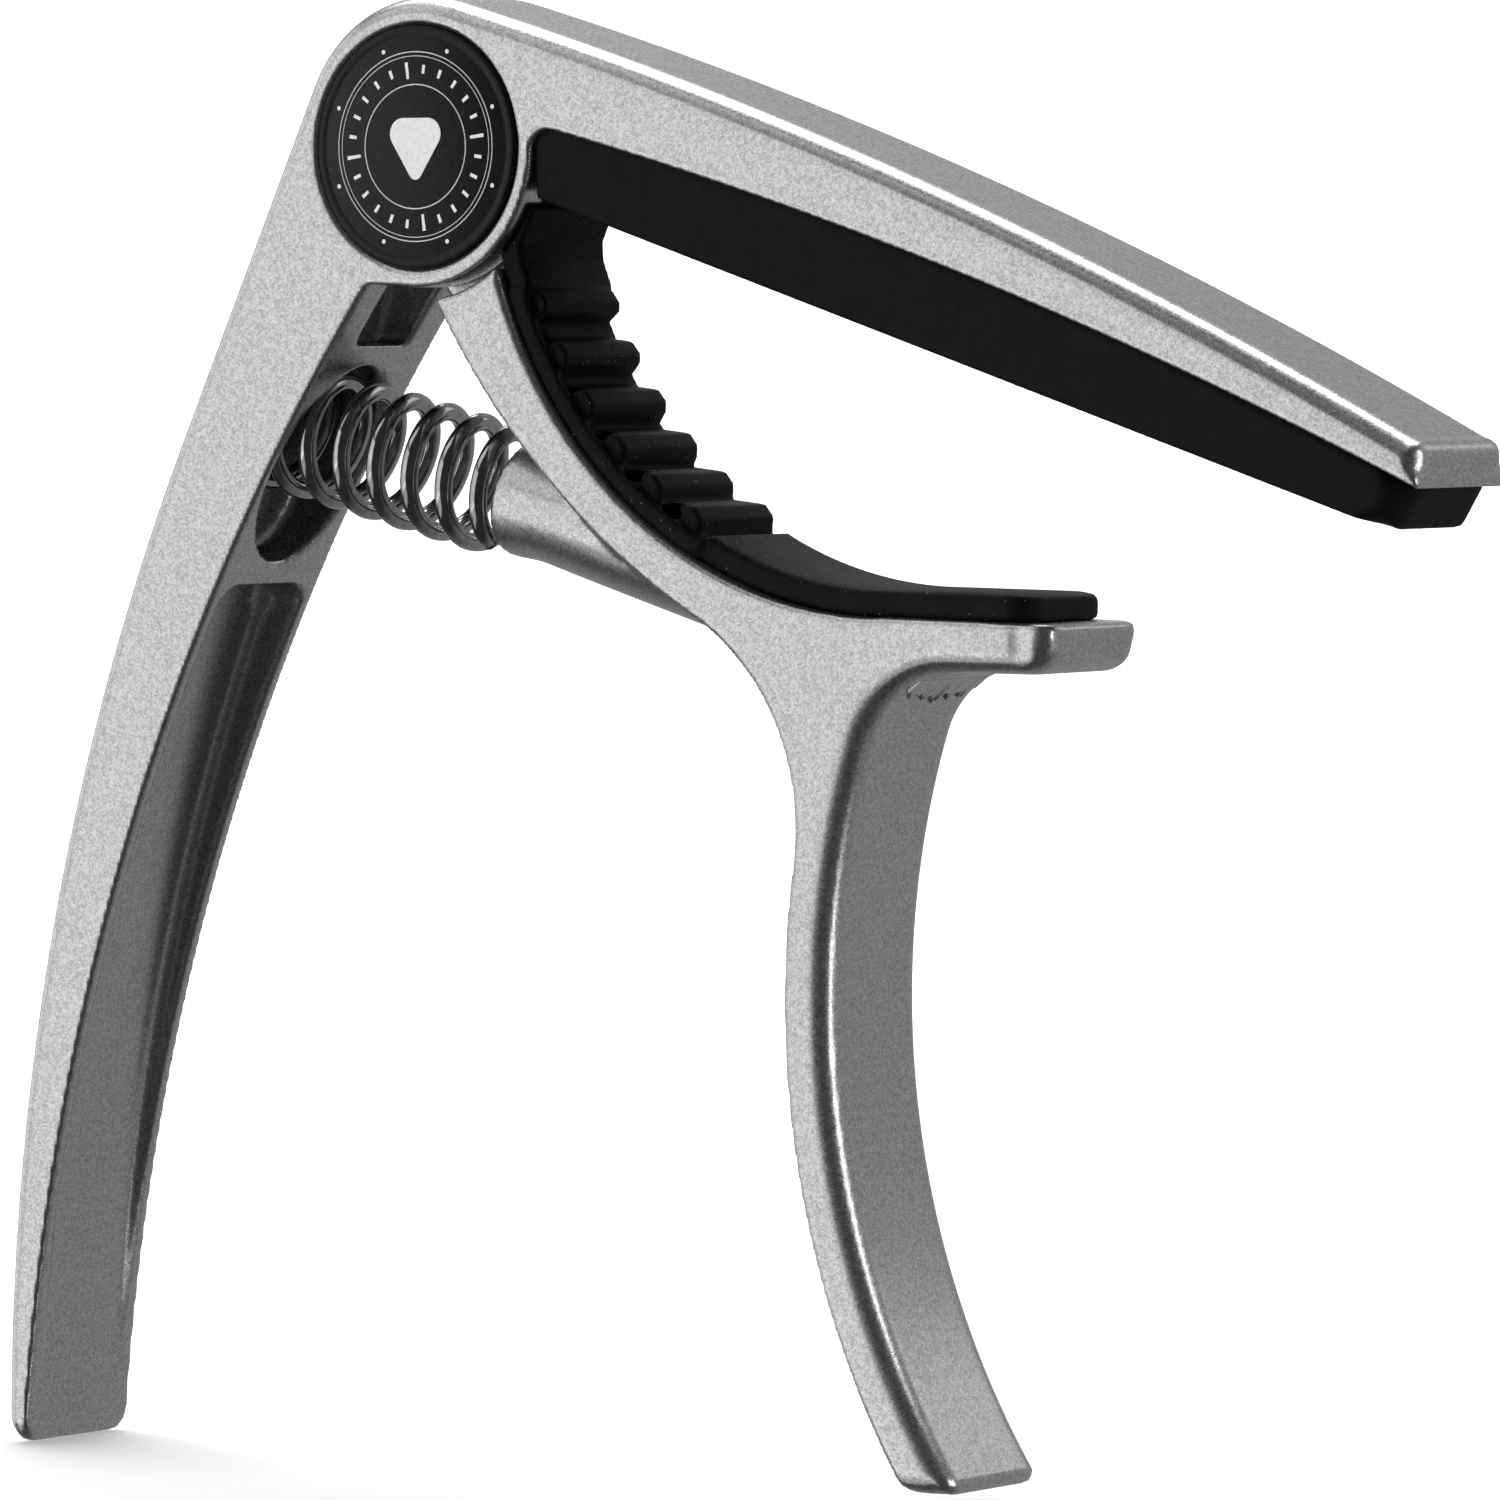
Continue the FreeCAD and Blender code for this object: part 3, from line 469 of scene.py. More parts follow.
def string_pad_field(x, y, z):
    top_right = (PAD_END_TOP, bar_under(PAD_END_TOP))
    pad = outline(
        top_right,
        [
            ((9.35, bar_under(9.35)), BAR_UNDER_ARC),
            ((8.12, 0.75), 0),
            ((8.08, -0.2), 0),
            ((8.15, -3.0), 0),
            (PAD_END_LOW, 0),
        ],
    )
    end = chain_distance(x, z, [PAD_END_LOW, top_right])
    rounding = 0.25 + 1.6 * (1 - fade(end, 0.6, 2.4))
    return extrude(region(x, z, pad), y, PAD_HALF, rounding)


def rib_outline(index):
    """One cross rib of the neck cushion, a stair step with a bevelled tip."""
    tip = polar(RIB_REACH, RIB_FIRST + RIB_STEP * index, NECK_CENTRE)
    undercut = 1.0 - 0.19 * index
    corners = [(-2.8, 0.98), (-0.58, 0.74), (0, 0), (-0.05, -0.56), (-undercut, -1.4), (-2.8, -1.5)]
    return [(tip[0] + dx, tip[1] + dz) for dx, dz in reversed(corners)]


def cushion_body(x, y, z, reach):
    """The cushion without its ribs: a thin layer on the neck curve that thickens to the soft lip."""
    top = outline(
        polar(CUSHION_BACK, -23.5),
        [
            (circles_meet((0, 0), CUSHION_BACK, NECK_CENTRE, NECK_RADIUS, -1), -CUSHION_BACK),
            ((NECK_CENTRE[0], NECK_CENTRE[1] - NECK_RADIUS), NECK_RADIUS),
            ((CUSHION_TIP, -26.55), 0),
            ((CUSHION_TIP, -25.15), 0),
            ((39.6, -24.95), 0),
            ((31.0, -24.85), 0),
            (polar(25.45, 242.8, NECK_CENTRE), -25.5),
            (polar(CUSHION_FACE, 241, NECK_CENTRE), 0),
            (polar(CUSHION_FACE, 203.0, NECK_CENTRE), -CUSHION_FACE),
            ((7.5, -8.0), 0),
            ((6.95, -6.6), 0),
            ((6.85, -5.5), 0),
            (polar(8.6, -33.5), 0),
            (polar(8.5, -24.5), 0),
        ],
    )
    height = np.where(x < NECK_CENTRE[0], NECK_RADIUS - reach, z + 26.45)
    softness = 0.22 + 0.55 * fade(height, 0.35, 1.1) * fade(x, 17.5, 20.5)
    body = extrude(region(x, z, top), y, CUSHION_HALF, softness)
    return smooth_max(body, extrude(x - CUSHION_TIP, y, CUSHION_HALF, 1.9), 0.5)


def neck_cushion_field(x, y, z):
    reach = np.hypot(x - NECK_CENTRE[0], z - NECK_CENTRE[1])
    bearing = np.degrees(np.arctan2(z - NECK_CENTRE[1], x - NECK_CENTRE[0])) % 360
    past_ends = np.abs(bearing - 221) * 0.45 - 9.6
    band = np.maximum(np.maximum(reach - NECK_RADIUS, 25.95 - reach), past_ends)
    rim = np.maximum(np.abs(y + 3.8) - 0.5, band)
    field = smooth_min(cushion_body(x, y, z, reach), rim, 0.5)
    ribs = np.full(np.broadcast(x, z).shape, FAR)
    for index in range(RIB_COUNT):
        ribs = np.minimum(ribs, region(x, z, rib_outline(index)))
    ribs = np.maximum(ribs, reach - NECK_RADIUS + 0.05)
    field = smooth_min(field, extrude(ribs, y, RIB_HALF, 0.14), 0.25)
    for index in range(SCOOP_COUNT):
        scoop = polar(25.9, 205.6 + RIB_STEP * index, NECK_CENTRE)
        ball = np.sqrt((x - scoop[0]) ** 2 + (y + 3.3) ** 2 + (z - scoop[1]) ** 2) - 0.75
        field = smooth_max(field, -np.maximum(ball, reach - 26.55), 0.15)
    return field


# ---------------------------------------------------------------- meshing


def surface_nets(field, low, step):
    """Vertices and quads of a field's zero surface: one vertex per cell that the surface crosses."""
    shape = np.array(field.shape)
    total = np.zeros((field.size, 3), np.float32)
    count = np.zeros(field.size, np.int32)
    strides = np.array([shape[1] * shape[2], shape[2], 1])
    inside = field < 0
    faces = []
    for axis in range(3):
        here = [slice(None)] * 3
        there = [slice(None)] * 3
        here[axis], there[axis] = slice(0, -1), slice(1, None)
        crossing = np.argwhere(inside[tuple(here)] != inside[tuple(there)])
        base = crossing @ strides
        first = field.ravel()[base]
        second = field.ravel()[base + strides[axis]]
        place = crossing.astype(np.float32)
        place[:, axis] += first / (first - second)
        other = [(axis + 1) % 3, (axis + 2) % 3]
        cells = []
        for back_one, back_two in ((0, 0), (1, 0), (1, 1), (0, 1)):
            cell = base - back_one * strides[other[0]] - back_two * strides[other[1]]
            np.add.at(total, cell, place)
            np.add.at(count, cell, 1)
            cells.append(cell)
        quads = np.stack(cells, axis=1)
        enters = first > 0
        quads[enters] = quads[enters][:, ::-1]
        faces.append(quads)
    used = np.flatnonzero(count)
    number = np.full(field.size, -1, np.int64)
    number[used] = np.arange(len(used))
    places = total[used] / count[used][:, None] * step + low
    return places, number[np.concatenate(faces)]


def mesh_field(name, function, low, high, step):
    """A mesh of a field inside a box, set at the hinge in metres."""
    low = np.array(low, float) - 2.5 * step
    counts = np.ceil((np.array(high) + 2.5 * step - low) / step).astype(int) + 1
    axes = [low[i] + step * np.arange(counts[i]) for i in range(3)]
    x, y, z = np.meshgrid(*axes, indexing="ij", sparse=True)
    field = np.broadcast_to(function(x, y, z), tuple(counts)).astype(np.float32)
    places, quads = surface_nets(np.ascontiguousarray(field), low, step)
    places = places * MM + np.array(HINGE)
    mesh = bpy.data.meshes.new(name)
    mesh.from_pydata(places.tolist(), [], quads.tolist())
    mesh.shade_smooth()
    mesh.update()
    piece = bpy.data.objects.new(name, mesh)
    bpy.context.collection.objects.link(piece)
    return piece


# ---------------------------------------------------------------- materials


def new_material(name):
    material = bpy.data.materials.new(name)
    material.use_nodes = True
    return material, material.node_tree, material.node_tree.nodes["Principled BSDF"]


def add_node(tree, kind, **settings):
    node = tree.nodes.new(kind)
    for key, value in settings.items():
        if key in node.inputs:
            node.inputs[key].default_value = value
        else:
            setattr(node, key, value)
    return node


def object_coordinates(tree):
    return tree.nodes.new("ShaderNodeTexCoord").outputs["Object"]


def noise(tree, scale, detail=2.0, rough=0.5):
    node = add_node(tree, "ShaderNodeTexNoise", Scale=scale, Detail=detail, Roughness=rough)
    tree.links.new(object_coordinates(tree), node.inputs["Vector"])
    return node.outputs["Fac"]


def cells(tree, scale):
    node = add_node(tree, "ShaderNodeTexVoronoi", Scale=scale)
    tree.links.new(object_coordinates(tree), node.inputs["Vector"])
    return node


def ramp(tree, source, stops):
    node = tree.nodes.new("ShaderNodeValToRGB")
    elements = node.color_ramp.elements
    while len(elements) < len(stops):
        elements.new(0.5)
    for element, (place, grey) in zip(elements, stops):
        element.position = place
        element.color = (*grey, 1) if isinstance(grey, tuple) else (grey, grey, grey, 1)
    tree.links.new(source, node.inputs["Fac"])
    return node.outputs["Color"]


def map_range(tree, source, low, high, source_low=0.0, source_high=1.0):
    limits = {"From Min": source_low, "From Max": source_high, "To Min": low, "To Max": high}
    node = add_node(tree, "ShaderNodeMapRange", **limits)
    tree.links.new(source, node.inputs["Value"])
    return node.outputs["Result"]


def mix_colours(tree, factor, a, b, blend="MIX"):
    node = tree.nodes.new("ShaderNodeMix")
    node.data_type = "RGBA"
    node.blend_type = blend
    for socket, value in ((node.inputs[0], factor), (node.inputs[6], a), (node.inputs[7], b)):
        if isinstance(value, (int, float)):
            socket.default_value = value
        elif isinstance(value, tuple):
            socket.default_value = (*value, 1)
        else:
            tree.links.new(value, socket)
    return node.outputs[2]


def bump(tree, shader, layers):
    """Bump layers, each a height, a distance in metres and a strength."""
    normal = None
    for height, distance, strength in layers:
        node = add_node(tree, "ShaderNodeBump", Strength=strength, Distance=distance)
        tree.links.new(height, node.inputs["Height"])
        if normal is not None:
            tree.links.new(normal, node.inputs["Normal"])
        normal = node.outputs["Normal"]
    tree.links.new(normal, shader.inputs["Normal"])


def casting_paint():
    """Silver metallic paint: fine flakes of different brightness under a thin satin film."""
    material, tree, shader = new_material("silver_paint")
    flakes = cells(tree, 8800)
    flake_tone = tree.nodes.new("ShaderNodeSeparateColor")
    tree.links.new(flakes.outputs["Color"], flake_tone.inputs["Color"])
    grain = ramp(tree, flake_tone.outputs["Red"], [(0.0, 0.72), (0.5, 0.98), (1.0, 1.22)])
    clouds = ramp(tree, noise(tree, 900, 4), [(0.3, 0.975), (0.7, 1.02)])
    tone = mix_colours(tree, 1.0, (0.50, 0.505, 0.515), grain, "MULTIPLY")
    tone = mix_colours(tree, 1.0, tone, clouds, "MULTIPLY")
    tree.links.new(tone, shader.inputs["Base Color"])
    shader.inputs["Metallic"].default_value = 0.90
    roughness = map_range(tree, flake_tone.outputs["Green"], 0.25, 0.36)
    tree.links.new(roughness, shader.inputs["Roughness"])
    shader.inputs["Coat Weight"].default_value = 0.12
    shader.inputs["Coat Roughness"].default_value = 0.25
    layers = [
        (flake_tone.outputs["Blue"], 0.00001, 0.14),
        (noise(tree, 2600, 3), 0.00002, 0.14),
        (noise(tree, 350, 2), 0.00008, 0.05),
    ]
    bump(tree, shader, layers)
    return material


def black_rubber(name, dust):
    """Matte moulded rubber with a fine skin and, where asked, light dust."""
    material, tree, shader = new_material(name)
    shades = [(0.3, (0.0045, 0.0045, 0.0048)), (0.75, (0.0095, 0.0095, 0.010))]
    mottle = ramp(tree, noise(tree, 500, 5), shades)
    tone = mottle
    if dust:
        specks = cells(tree, 3000)
        near = ramp(tree, specks.outputs["Distance"], [(0.10, 1.0), (0.17, 0.0)])
        chance = tree.nodes.new("ShaderNodeSeparateColor")
        tree.links.new(specks.outputs["Color"], chance.inputs["Color"])
        rare = ramp(tree, chance.outputs["Red"], [(0.80, 0.0), (0.84, 1.0)])
        where = mix_colours(tree, 1.0, near, rare, "MULTIPLY")
        tone = mix_colours(tree, where, mottle, (0.30, 0.29, 0.28))
    tree.links.new(tone, shader.inputs["Base Color"])
    roughness = map_range(tree, noise(tree, 1500, 3), 0.52, 0.74)
    tree.links.new(roughness, shader.inputs["Roughness"])
    shader.inputs["Specular IOR Level"].default_value = 0.15
    layers = [(noise(tree, 5200, 3, 0.6), 0.00004, 0.35), (noise(tree, 700, 3), 0.00012, 0.18)]
    bump(tree, shader, layers)
    return material


def spring_steel():
    """Dark oil-tempered wire, polished, with faint die marks."""
    material, tree, shader = new_material("spring_wire")
    tone = ramp(tree, noise(tree, 1400, 4), [(0.3, (0.30, 0.30, 0.31)), (0.7, (0.44, 0.44, 0.45))])
    tree.links.new(tone, shader.inputs["Base Color"])
    shader.inputs["Metallic"].default_value = 1.0
    roughness = map_range(tree, noise(tree, 3000, 3), 0.07, 0.16)
    tree.links.new(roughness, shader.inputs["Roughness"])
    bump(tree, shader, [(noise(tree, 2500, 3), 0.00002, 0.2)])
    return material


def badge_black():
    """Black film with a fine leather-like grain."""
    material, tree, shader = new_material("badge_film")
    shades = [(0.35, (0.006, 0.006, 0.0065)), (0.7, (0.012, 0.012, 0.0125))]
    tone = ramp(tree, noise(tree, 1800, 4), shades)
    tree.links.new(tone, shader.inputs["Base Color"])
    roughness = map_range(tree, noise(tree, 2600, 3), 0.42, 0.6)
    tree.links.new(roughness, shader.inputs["Roughness"])
    shader.inputs["Specular IOR Level"].default_value = 0.25
    grain = cells(tree, 3300).outputs["Distance"]
    bump(tree, shader, [(grain, 0.00003, 0.4), (noise(tree, 6000, 2), 0.00002, 0.2)])
    return material


def badge_print():
    """Pale silver ink."""
    material, tree, shader = new_material("badge_print")
    tone = ramp(tree, noise(tree, 3500, 3), [(0.3, (0.82, 0.82, 0.82)), (0.7, (0.93, 0.93, 0.93))])
    tree.links.new(tone, shader.inputs["Base Color"])
    shader.inputs["Metallic"].default_value = 0.65
    shader.inputs["Roughness"].default_value = 0.42
    bump(tree, shader, [(noise(tree, 5000, 2), 0.00001, 0.2)])
    return material


def turned_metal(name, colour):
    """Turned and plated metal of the hidden hinge pieces."""
    material, tree, shader = new_material(name)
    dark = tuple(0.8 * channel for channel in colour)
    tone = ramp(tree, noise(tree, 1200, 4), [(0.3, dark), (0.7, colour)])
    tree.links.new(tone, shader.inputs["Base Color"])
    shader.inputs["Metallic"].default_value = 1.0
    tree.links.new(map_range(tree, noise(tree, 2500, 3), 0.22, 0.38), shader.inputs["Roughness"])
    bump(tree, shader, [(noise(tree, 4000, 2), 0.00002, 0.2)])
    return material


def plain_film(name, colour):
    """Plain moulded or cut plastic of the washers and adhesive discs."""
    material, tree, shader = new_material(name)
    dark = tuple(0.85 * channel for channel in colour)
    tone = ramp(tree, noise(tree, 1500, 3), [(0.3, dark), (0.7, colour)])
    tree.links.new(tone, shader.inputs["Base Color"])
    shader.inputs["Roughness"].default_value = 0.55
    bump(tree, shader, [(noise(tree, 3000, 2), 0.00002, 0.2)])
    return material


def give(piece, material):
    piece.data.materials.clear()
    piece.data.materials.append(material)


# ---------------------------------------------------------------- pieces made from curves and rings


def mesh_piece(name, vertices, faces, smooth=True):
    mesh = bpy.data.meshes.new(name)
    mesh.from_pydata([tuple(Vector(v) * MM + HINGE) for v in vertices], [], faces)
    if smooth:
        mesh.shade_smooth()
    mesh.update()
    piece = bpy.data.objects.new(name, mesh)
    bpy.context.collection.objects.link(piece)
    return piece


def clean_mesh(piece, weld=False):
    """Turn all faces outwards, after closing the centre of a turned piece where asked."""
    bm = bmesh.new()
    bm.from_mesh(piece.data)
    if weld:
        bmesh.ops.remove_doubles(bm, verts=bm.verts, dist=1e-7)
        bmesh.ops.dissolve_degenerate(bm, dist=1e-8, edges=bm.edges)
    bmesh.ops.recalc_face_normals(bm, faces=bm.faces)
    bm.to_mesh(piece.data)
    bm.free()
    return piece


def band_faces(row, following, around):
    """The quads between two rings of vertices."""
    here, there = row * around, following * around
    pairs = [(k, (k + 1) % around) for k in range(around)]
    return [(here + k, here + after, there + after, there + k) for k, after in pairs]


def spring_directions():
    """Unit vectors along the spring, across it and up from it, and the middle of its axis."""
    along = Vector((math.cos(SPRING_SLOPE), 0, -math.sin(SPRING_SLOPE)))
    up = Vector((math.sin(SPRING_SLOPE), 0, math.cos(SPRING_SLOPE)))
    return along, Vector((0, 1, 0)), up, up * -SPRING_DROP


def make_spring():
    """The coil spring, a round wire swept along a helix and rounded off at both ends."""
    per_turn, around = 56, 18
    start = SPRING_SEATS[0] + WIRE_RADIUS + SEAT_GAP
    rise = SPRING_SEATS[1] - SPRING_SEATS[0] - 2 * (WIRE_RADIUS + SEAT_GAP)
    count = round(rise / COIL_PITCH * per_turn)
    lead = COIL_PITCH / (2 * math.pi * COIL_RADIUS)
    along, side, up, centre = spring_directions()
    vertices, faces = [], []
    for i in range(count + 1):
        angle = 2 * math.pi * i / per_turn + COIL_START
        out = side * math.cos(angle) + up * math.sin(angle)
        turn = side * -math.sin(angle) + up * math.cos(angle)
        other = (turn + along * lead).normalized().cross(out)
        spot = centre + along * (start + rise * i / count) + out * COIL_RADIUS
        radius = WIRE_RADIUS * (0.72, 0.93, 1.0)[min(i, count - i, 2)]
        for k in range(around):
            phi = 2 * math.pi * k / around
            vertices.append(spot + (out * math.cos(phi) + other * math.sin(phi)) * radius)
    for i in range(count):
        faces += band_faces(i, i + 1, around)
    faces.append(tuple(range(around)))
    faces.append(tuple(count * around + k for k in reversed(range(around))))
    return mesh_piece("spring_coil", vertices, faces)


def turned_profile(name, profile, side, steps=128):
    """A closed ring or disc on one side of the hub, turned about its axis from (radius, y) corners."""
    vertices, faces = [], []
    for i in range(steps):
        angle = 2 * math.pi * i / steps
        for radius, place in profile:
            vertices.append((radius * math.cos(angle), side * place, radius * math.sin(angle)))
    for i in range(steps):
        faces += band_faces(i, (i + 1) % steps, len(profile))
    return clean_mesh(mesh_piece(name, vertices, faces), weld=True)


def ring_profile(inner, outer, low, high):
    return [(inner, low), (outer, low), (outer, high), (inner, high)]


def printed_shape(name, corners, side):
    """A flat printed shape on a badge, from its corners in the plane of the badge."""
    count = len(corners)
    vertices = [(x, side * height, z) for height in (INK_LOW, INK_LOW + INK) for x, z in corners]
    faces = [tuple(range(count)), tuple(range(2 * count - 1, count - 1, -1))]
    faces += [(k, k + count, (k + 1) % count + count, (k + 1) % count) for k in range(count)]
    return clean_mesh(mesh_piece(name, vertices, faces, smooth=False))


def plectrum_corners(size):
    """A plain plectrum, point down: two round shoulders and a smaller round tip."""
    rounds = (((-0.5, 0.42), 0.52), ((0.5, 0.42), 0.52), ((0.0, -0.82), 0.26))
    corners = []
    for k in range(60):
        ux, uz = polar(1, 6 * k)
        (x, z), radius = max(rounds, key=lambda disc: disc[0][0] * ux + disc[0][1] * uz + disc[1])
        corners.append((size * (x + radius * ux), size * (z + radius * uz)))
    return corners


def tick_corners(angle, long_one):
    inner, outer = (3.9, 4.85) if long_one else (4.2, 4.7)
    half = math.degrees(0.10 / 4.5)
    near, far = angle - half, angle + half
    return [polar(inner, near), polar(outer, near), polar(outer, far), polar(inner, far)]


def make_badge(name, side):
    """A thin disc with a bevelled rim, and rings, dots, ticks and a plain plectrum printed on it."""
    low, top, bevel = BADGE_LOW, BADGE_TOP, 0.12
    profile = [(0, low), (BADGE_RADIUS, low), (BADGE_RADIUS, top - bevel)]
    profile += [(BADGE_RADIUS - bevel * 0.3, top - bevel * 0.3), (BADGE_RADIUS - bevel, top)]
    profile += [(6.45, top), (6.38, top - 0.05), (6.31, top), (0, top)]
    disc = turned_profile(f"{name}_disc", profile, side)
    prints = []
    for number, (radius, width) in enumerate(((5.42, 0.07), (5.18, 0.05), (3.55, 0.08))):
        ring = ring_profile(radius - width / 2, radius + width / 2, INK_LOW, BADGE_TOP + INK)
        prints.append(turned_profile(f"{name}_print_ring_{number}", ring, side))
    for k in range(24):
        corners = tick_corners(15 * k + 7.5, k % 6 == 0)
        prints.append(printed_shape(f"{name}_print_tick_{k}", corners, side))
    for k in range(8):
        spot = polar(5.86, 45 * k + 22.5)
        corners = [polar(0.13, 22.5 * step, spot) for step in range(16)]
        prints.append(printed_shape(f"{name}_print_dot_{k}", corners, side))
    prints.append(printed_shape(f"{name}_print_plectrum", plectrum_corners(1.75), side))
    return disc, prints


def join(name, pieces):
    bpy.ops.object.select_all(action="DESELECT")
    for piece in pieces:
        piece.select_set(True)
    bpy.context.view_layer.objects.active = pieces[0]
    bpy.ops.object.join()
    joined = bpy.context.view_layer.objects.active
    joined.name = name
    joined.data.name = name
    return joined


def make_flash():
    """The thin ragged skin of metal left along the mould's parting line under the fork."""
    rng = random.Random(7)
    centre = lower_arm_points()["fork_centre"]
    count = 64
    vertices, faces = [], []
    for i in range(count + 1):
        y = -3.4 + 6.8 * i / count
        drop = 2.0 + 11.0 * rng.random() * rng.random() + 4.0 * math.sin(math.pi * i / count)
        for radius, degrees in ((0.1, 114), (-0.02, 114), (-0.17, 123 + drop), (0.1, 123 + drop)):
            x, z = polar(FORK_RADIUS + radius, degrees, centre)
            vertices.append((x, y, z))
    for i in range(count):
        faces += band_faces(i, i + 1, 4)
    faces += [(3, 2, 1, 0), tuple(count * 4 + k for k in range(4))]
    return clean_mesh(mesh_piece("parting_flash", vertices, faces, smooth=False))


# ---------------------------------------------------------------- the capo


def add_looks(piece, material, node):
    """Give a piece its material, and let it ride on a body in place of a CAD node."""
    give(piece, material)
    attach(piece, BODIES[node])
    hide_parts(node)


def add_castings_and_rubber(paint):
    step = 0.25
    upper_box = (-31, -5, -76.4), (66.6, 5, 8.7)
    lower_box = (-6.3, -5, -75.4), (43.3, 5, 6.3)
    pad_box = (8.0, -PAD_HALF, -21.3), (66.1, PAD_HALF, 1.6)
    cushion_box = (4.5, -CUSHION_HALF, -27), (41.4, CUSHION_HALF, -3.5)
    upper = mesh_field("upper_casting", upper_arm_field, *upper_box, step)
    add_looks(upper, paint, "upper_arm")
    lower = mesh_field("lower_casting", lower_arm_field, *lower_box, step)
    add_looks(lower, paint, "lower_arm")
    pad = mesh_field("string_rubber", string_pad_field, *pad_box, step)
    add_looks(pad, black_rubber("pad_rubber", False), "string_pad")
    cushion = mesh_field("neck_rubber", neck_cushion_field, *cushion_box, step * CUSHION_DETAIL)
    add_looks(cushion, black_rubber("cushion_rubber", True), "neck_cushion")


def add_spring():
    coil = make_spring()
    give(coil, spring_steel())
    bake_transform(coil)
    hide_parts("spring")


def add_badges():
    film, ink = badge_black(), badge_print()
    for name, side in (("front_badge", -1), ("rear_badge", 1)):
        disc, prints = make_badge(name, side)
        add_looks(disc, film, name)
        printed = join(f"{name}_print", prints)
        give(printed, ink)
        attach(printed, "upper_arm")


def add_flash(paint):
    flash = make_flash()
    give(flash, paint)
    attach(flash, "lower_arm")


def dress_hidden_pieces():
    """Materials of the pieces inside the hub, which keep their CAD shapes."""
    zinc = turned_metal("zinc_steel", (0.55, 0.55, 0.56))
    brass = turned_metal("bush_brass", (0.72, 0.52, 0.24))
    nylon = plain_film("washer_nylon", (0.75, 0.75, 0.71))
    adhesive = plain_film("adhesive_film", (0.66, 0.64, 0.58))
    inner = {
        "pivot_barrel": zinc,
        "pivot_screw": zinc,
        "pivot_bush": brass,
        "front_thrust_washer": nylon,
        "rear_thrust_washer": nylon,
        "front_badge_adhesive": adhesive,
        "rear_badge_adhesive": adhesive,
    }
    for node, material in inner.items():
        give(frame["nodes"][node], material)


def build_capo():
    paint = casting_paint()
    add_castings_and_rubber(paint)
    add_spring()
    add_badges()
    add_flash(paint)
    dress_hidden_pieces()


# ---------------------------------------------------------------- camera, light and floor

AZIMUTH = math.radians(34.3)
ELEVATION = math.radians(2.58)
CAMERA_OFFSET = Vector((0.35474, -0.49096, -0.00744))
FOCAL_LENGTH = 252
SENSOR_WIDTH = 36
MIDDLE = (0.0, 0.0, 0.045)
FLOOR_NEAR, FLOOR_FAR = -2.2, 0.9
SWEEP_RADIUS = 0.9
SWEEP_STEPS = 16
BACKDROP_TOP = 3.2

# name, place, what it faces, width and height in metres, and power in watts
LIGHTS = (
    ("key", (-0.72, -0.87, 0.12), MIDDLE, 0.98, 1.1, 4.3),
    ("left", (-1.12, -0.02, 0.15), MIDDLE, 0.95, 1.0, 3.2),
    ("top_left", (-0.62, -0.38, 0.92), MIDDLE, 0.9, 0.7, 2.0),
    ("right_strip", (1.03, 0.02, 0.20), MIDDLE, 0.14, 0.9, 3.2),
    ("right_rear", (0.50, 0.80, 0.60), MIDDLE, 0.5, 0.5, 0.6),
    ("top", (-0.60, 0.50, 0.92), MIDDLE, 0.75, 0.5, 2.9),
    ("low_fill", (-0.55, -0.75, -0.50), MIDDLE, 1.0, 0.6, 1.3),
    ("backdrop", (-0.3, 0.5, 1.5), (-0.7, 1.2, 0.3), 1.0, 0.8, 24),
)


def camera_back():
    """From the capo towards the camera."""
    level = math.cos(ELEVATION)
    return Vector((math.sin(AZIMUTH) * level, -math.cos(AZIMUTH) * level, math.sin(ELEVATION)))


def add_camera():
    data = bpy.data.cameras.new("camera")
    data.lens = FOCAL_LENGTH
    data.sensor_width = SENSOR_WIDTH
    data.clip_start = 0.01
    data.clip_end = 50
    camera = bpy.data.objects.new("camera", data)
    bpy.context.collection.objects.link(camera)
    back = camera_back()
    right = Vector((0, 0, 1)).cross(back).normalized()
    up = back.cross(right)
    turn = Matrix((right, up, back)).transposed().to_4x4()
    camera.matrix_world = Matrix.Translation(HINGE + CAMERA_OFFSET) @ turn
    bpy.context.scene.camera = camera


def add_area(name, place, target, width, height, power):
    data = bpy.data.lights.new(name, "AREA")
    data.shape = "RECTANGLE"
    data.size = width
    data.size_y = height
    data.energy = power
    light = bpy.data.objects.new(name, data)
    bpy.context.collection.objects.link(light)
    light.location = place
    light.rotation_euler = (Vector(target) - Vector(place)).to_track_quat("-Z", "Y").to_euler()


def floor_paint():
    """Matte pale paper that glows a little, so that it stays even under the capo's own light."""
    material, tree, shader = new_material("pale_sweep")
    tone = ramp(tree, noise(tree, 3, 2), [(0.3, 0.91), (0.7, 0.93)])
    tree.links.new(tone, shader.inputs["Base Color"])
    shader.inputs["Roughness"].default_value = 0.85
    shader.inputs["Specular IOR Level"].default_value = 0.1
    shader.inputs["Emission Color"].default_value = (1, 1, 1, 1)
    shader.inputs["Emission Strength"].default_value = 0.28
    return material


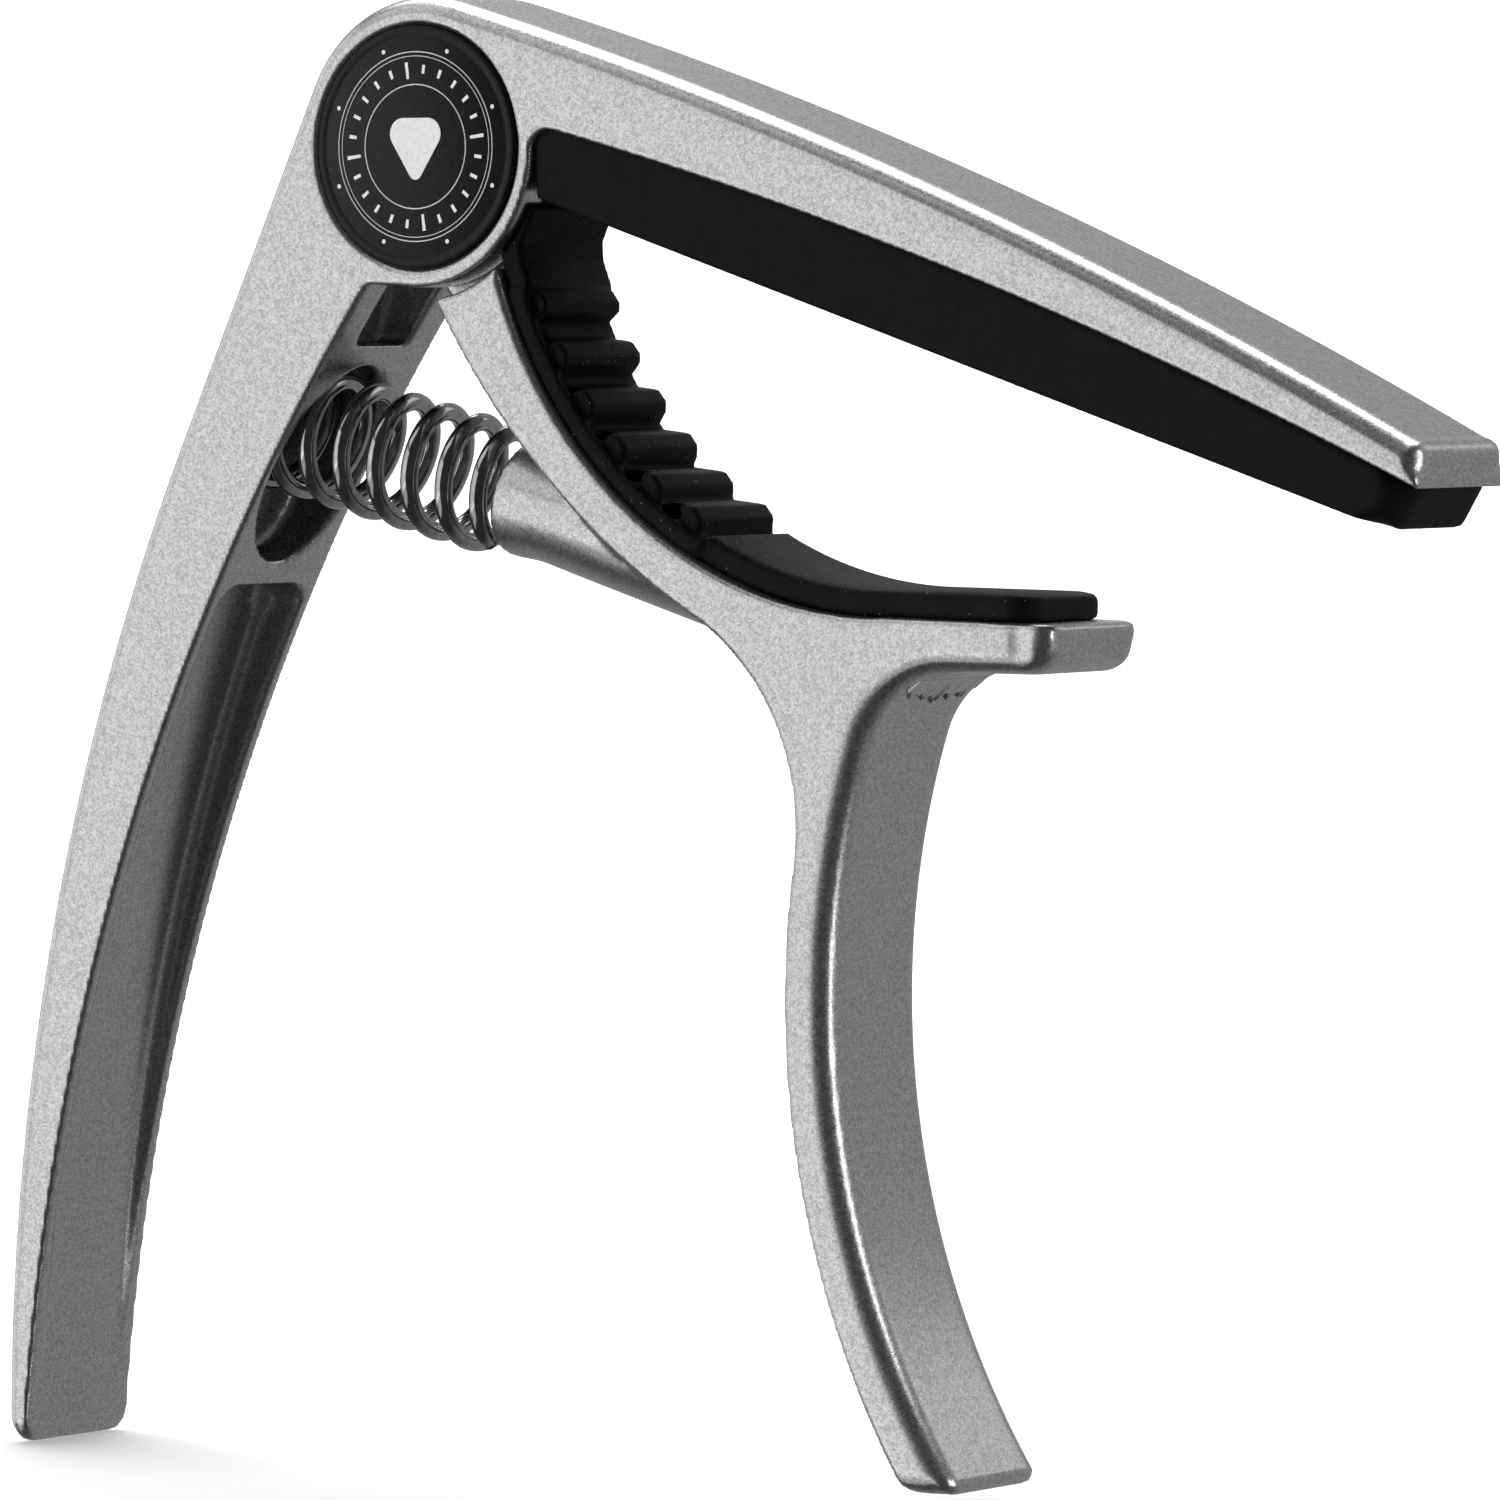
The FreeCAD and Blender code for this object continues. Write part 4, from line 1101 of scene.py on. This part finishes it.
def add_floor():
    """A pale floor that sweeps up into a backdrop well behind the capo. The capo doesn't mirror it."""
    away = -camera_back()
    away.z = 0
    away.normalize()
    across = Vector((-away.y, away.x, 0))
    profile = [(FLOOR_NEAR, 0.0), (FLOOR_FAR, 0.0)]
    for k in range(1, SWEEP_STEPS + 1):
        angle = math.pi / 2 * k / SWEEP_STEPS
        rise = SWEEP_RADIUS - SWEEP_RADIUS * math.cos(angle)
        profile.append((FLOOR_FAR + SWEEP_RADIUS * math.sin(angle), rise))
    profile.append((FLOOR_FAR + SWEEP_RADIUS, BACKDROP_TOP))
    vertices, faces = [], []
    for run, height in profile:
        for side in (-0.5, 0.5):
            vertices.append(tuple(away * run + across * side + Vector((0, 0, height))))
    for k in range(len(profile) - 1):
        faces.append((2 * k, 2 * k + 1, 2 * k + 3, 2 * k + 2))
    mesh = bpy.data.meshes.new("sweep")
    mesh.from_pydata(vertices, [], faces)
    mesh.shade_smooth()
    floor = bpy.data.objects.new("sweep", mesh)
    bpy.context.collection.objects.link(floor)
    give(floor, floor_paint())
    floor.visible_glossy = False
    floor.visible_diffuse = False
    floor.visible_shadow = False


def add_world():
    """A dim room for the capo, lighter behind it, and a plain white one for the camera."""
    world = bpy.data.worlds.new("studio")
    world.use_nodes = True
    tree = world.node_tree
    room = tree.nodes["Background"]
    room.inputs["Color"].default_value = (1, 1, 1, 1)
    split = tree.nodes.new("ShaderNodeSeparateXYZ")
    tree.links.new(tree.nodes.new("ShaderNodeTexCoord").outputs["Generated"], split.inputs[0])
    strength = map_range(tree, split.outputs["Y"], 0.05, 0.34, -0.1, 0.7)
    tree.links.new(strength, room.inputs["Strength"])
    white = add_node(tree, "ShaderNodeBackground", Color=(1, 1, 1, 1), Strength=1.0)
    path = tree.nodes.new("ShaderNodeLightPath")
    mix = tree.nodes.new("ShaderNodeMixShader")
    tree.links.new(path.outputs["Is Camera Ray"], mix.inputs[0])
    tree.links.new(room.outputs[0], mix.inputs[1])
    tree.links.new(white.outputs[0], mix.inputs[2])
    tree.links.new(mix.outputs[0], tree.nodes["World Output"].inputs["Surface"])
    bpy.context.scene.world = world


build_capo()
add_camera()
add_floor()
add_world()
for light in LIGHTS:
    add_area(*light)
bpy.context.scene.view_settings.view_transform = "Standard"
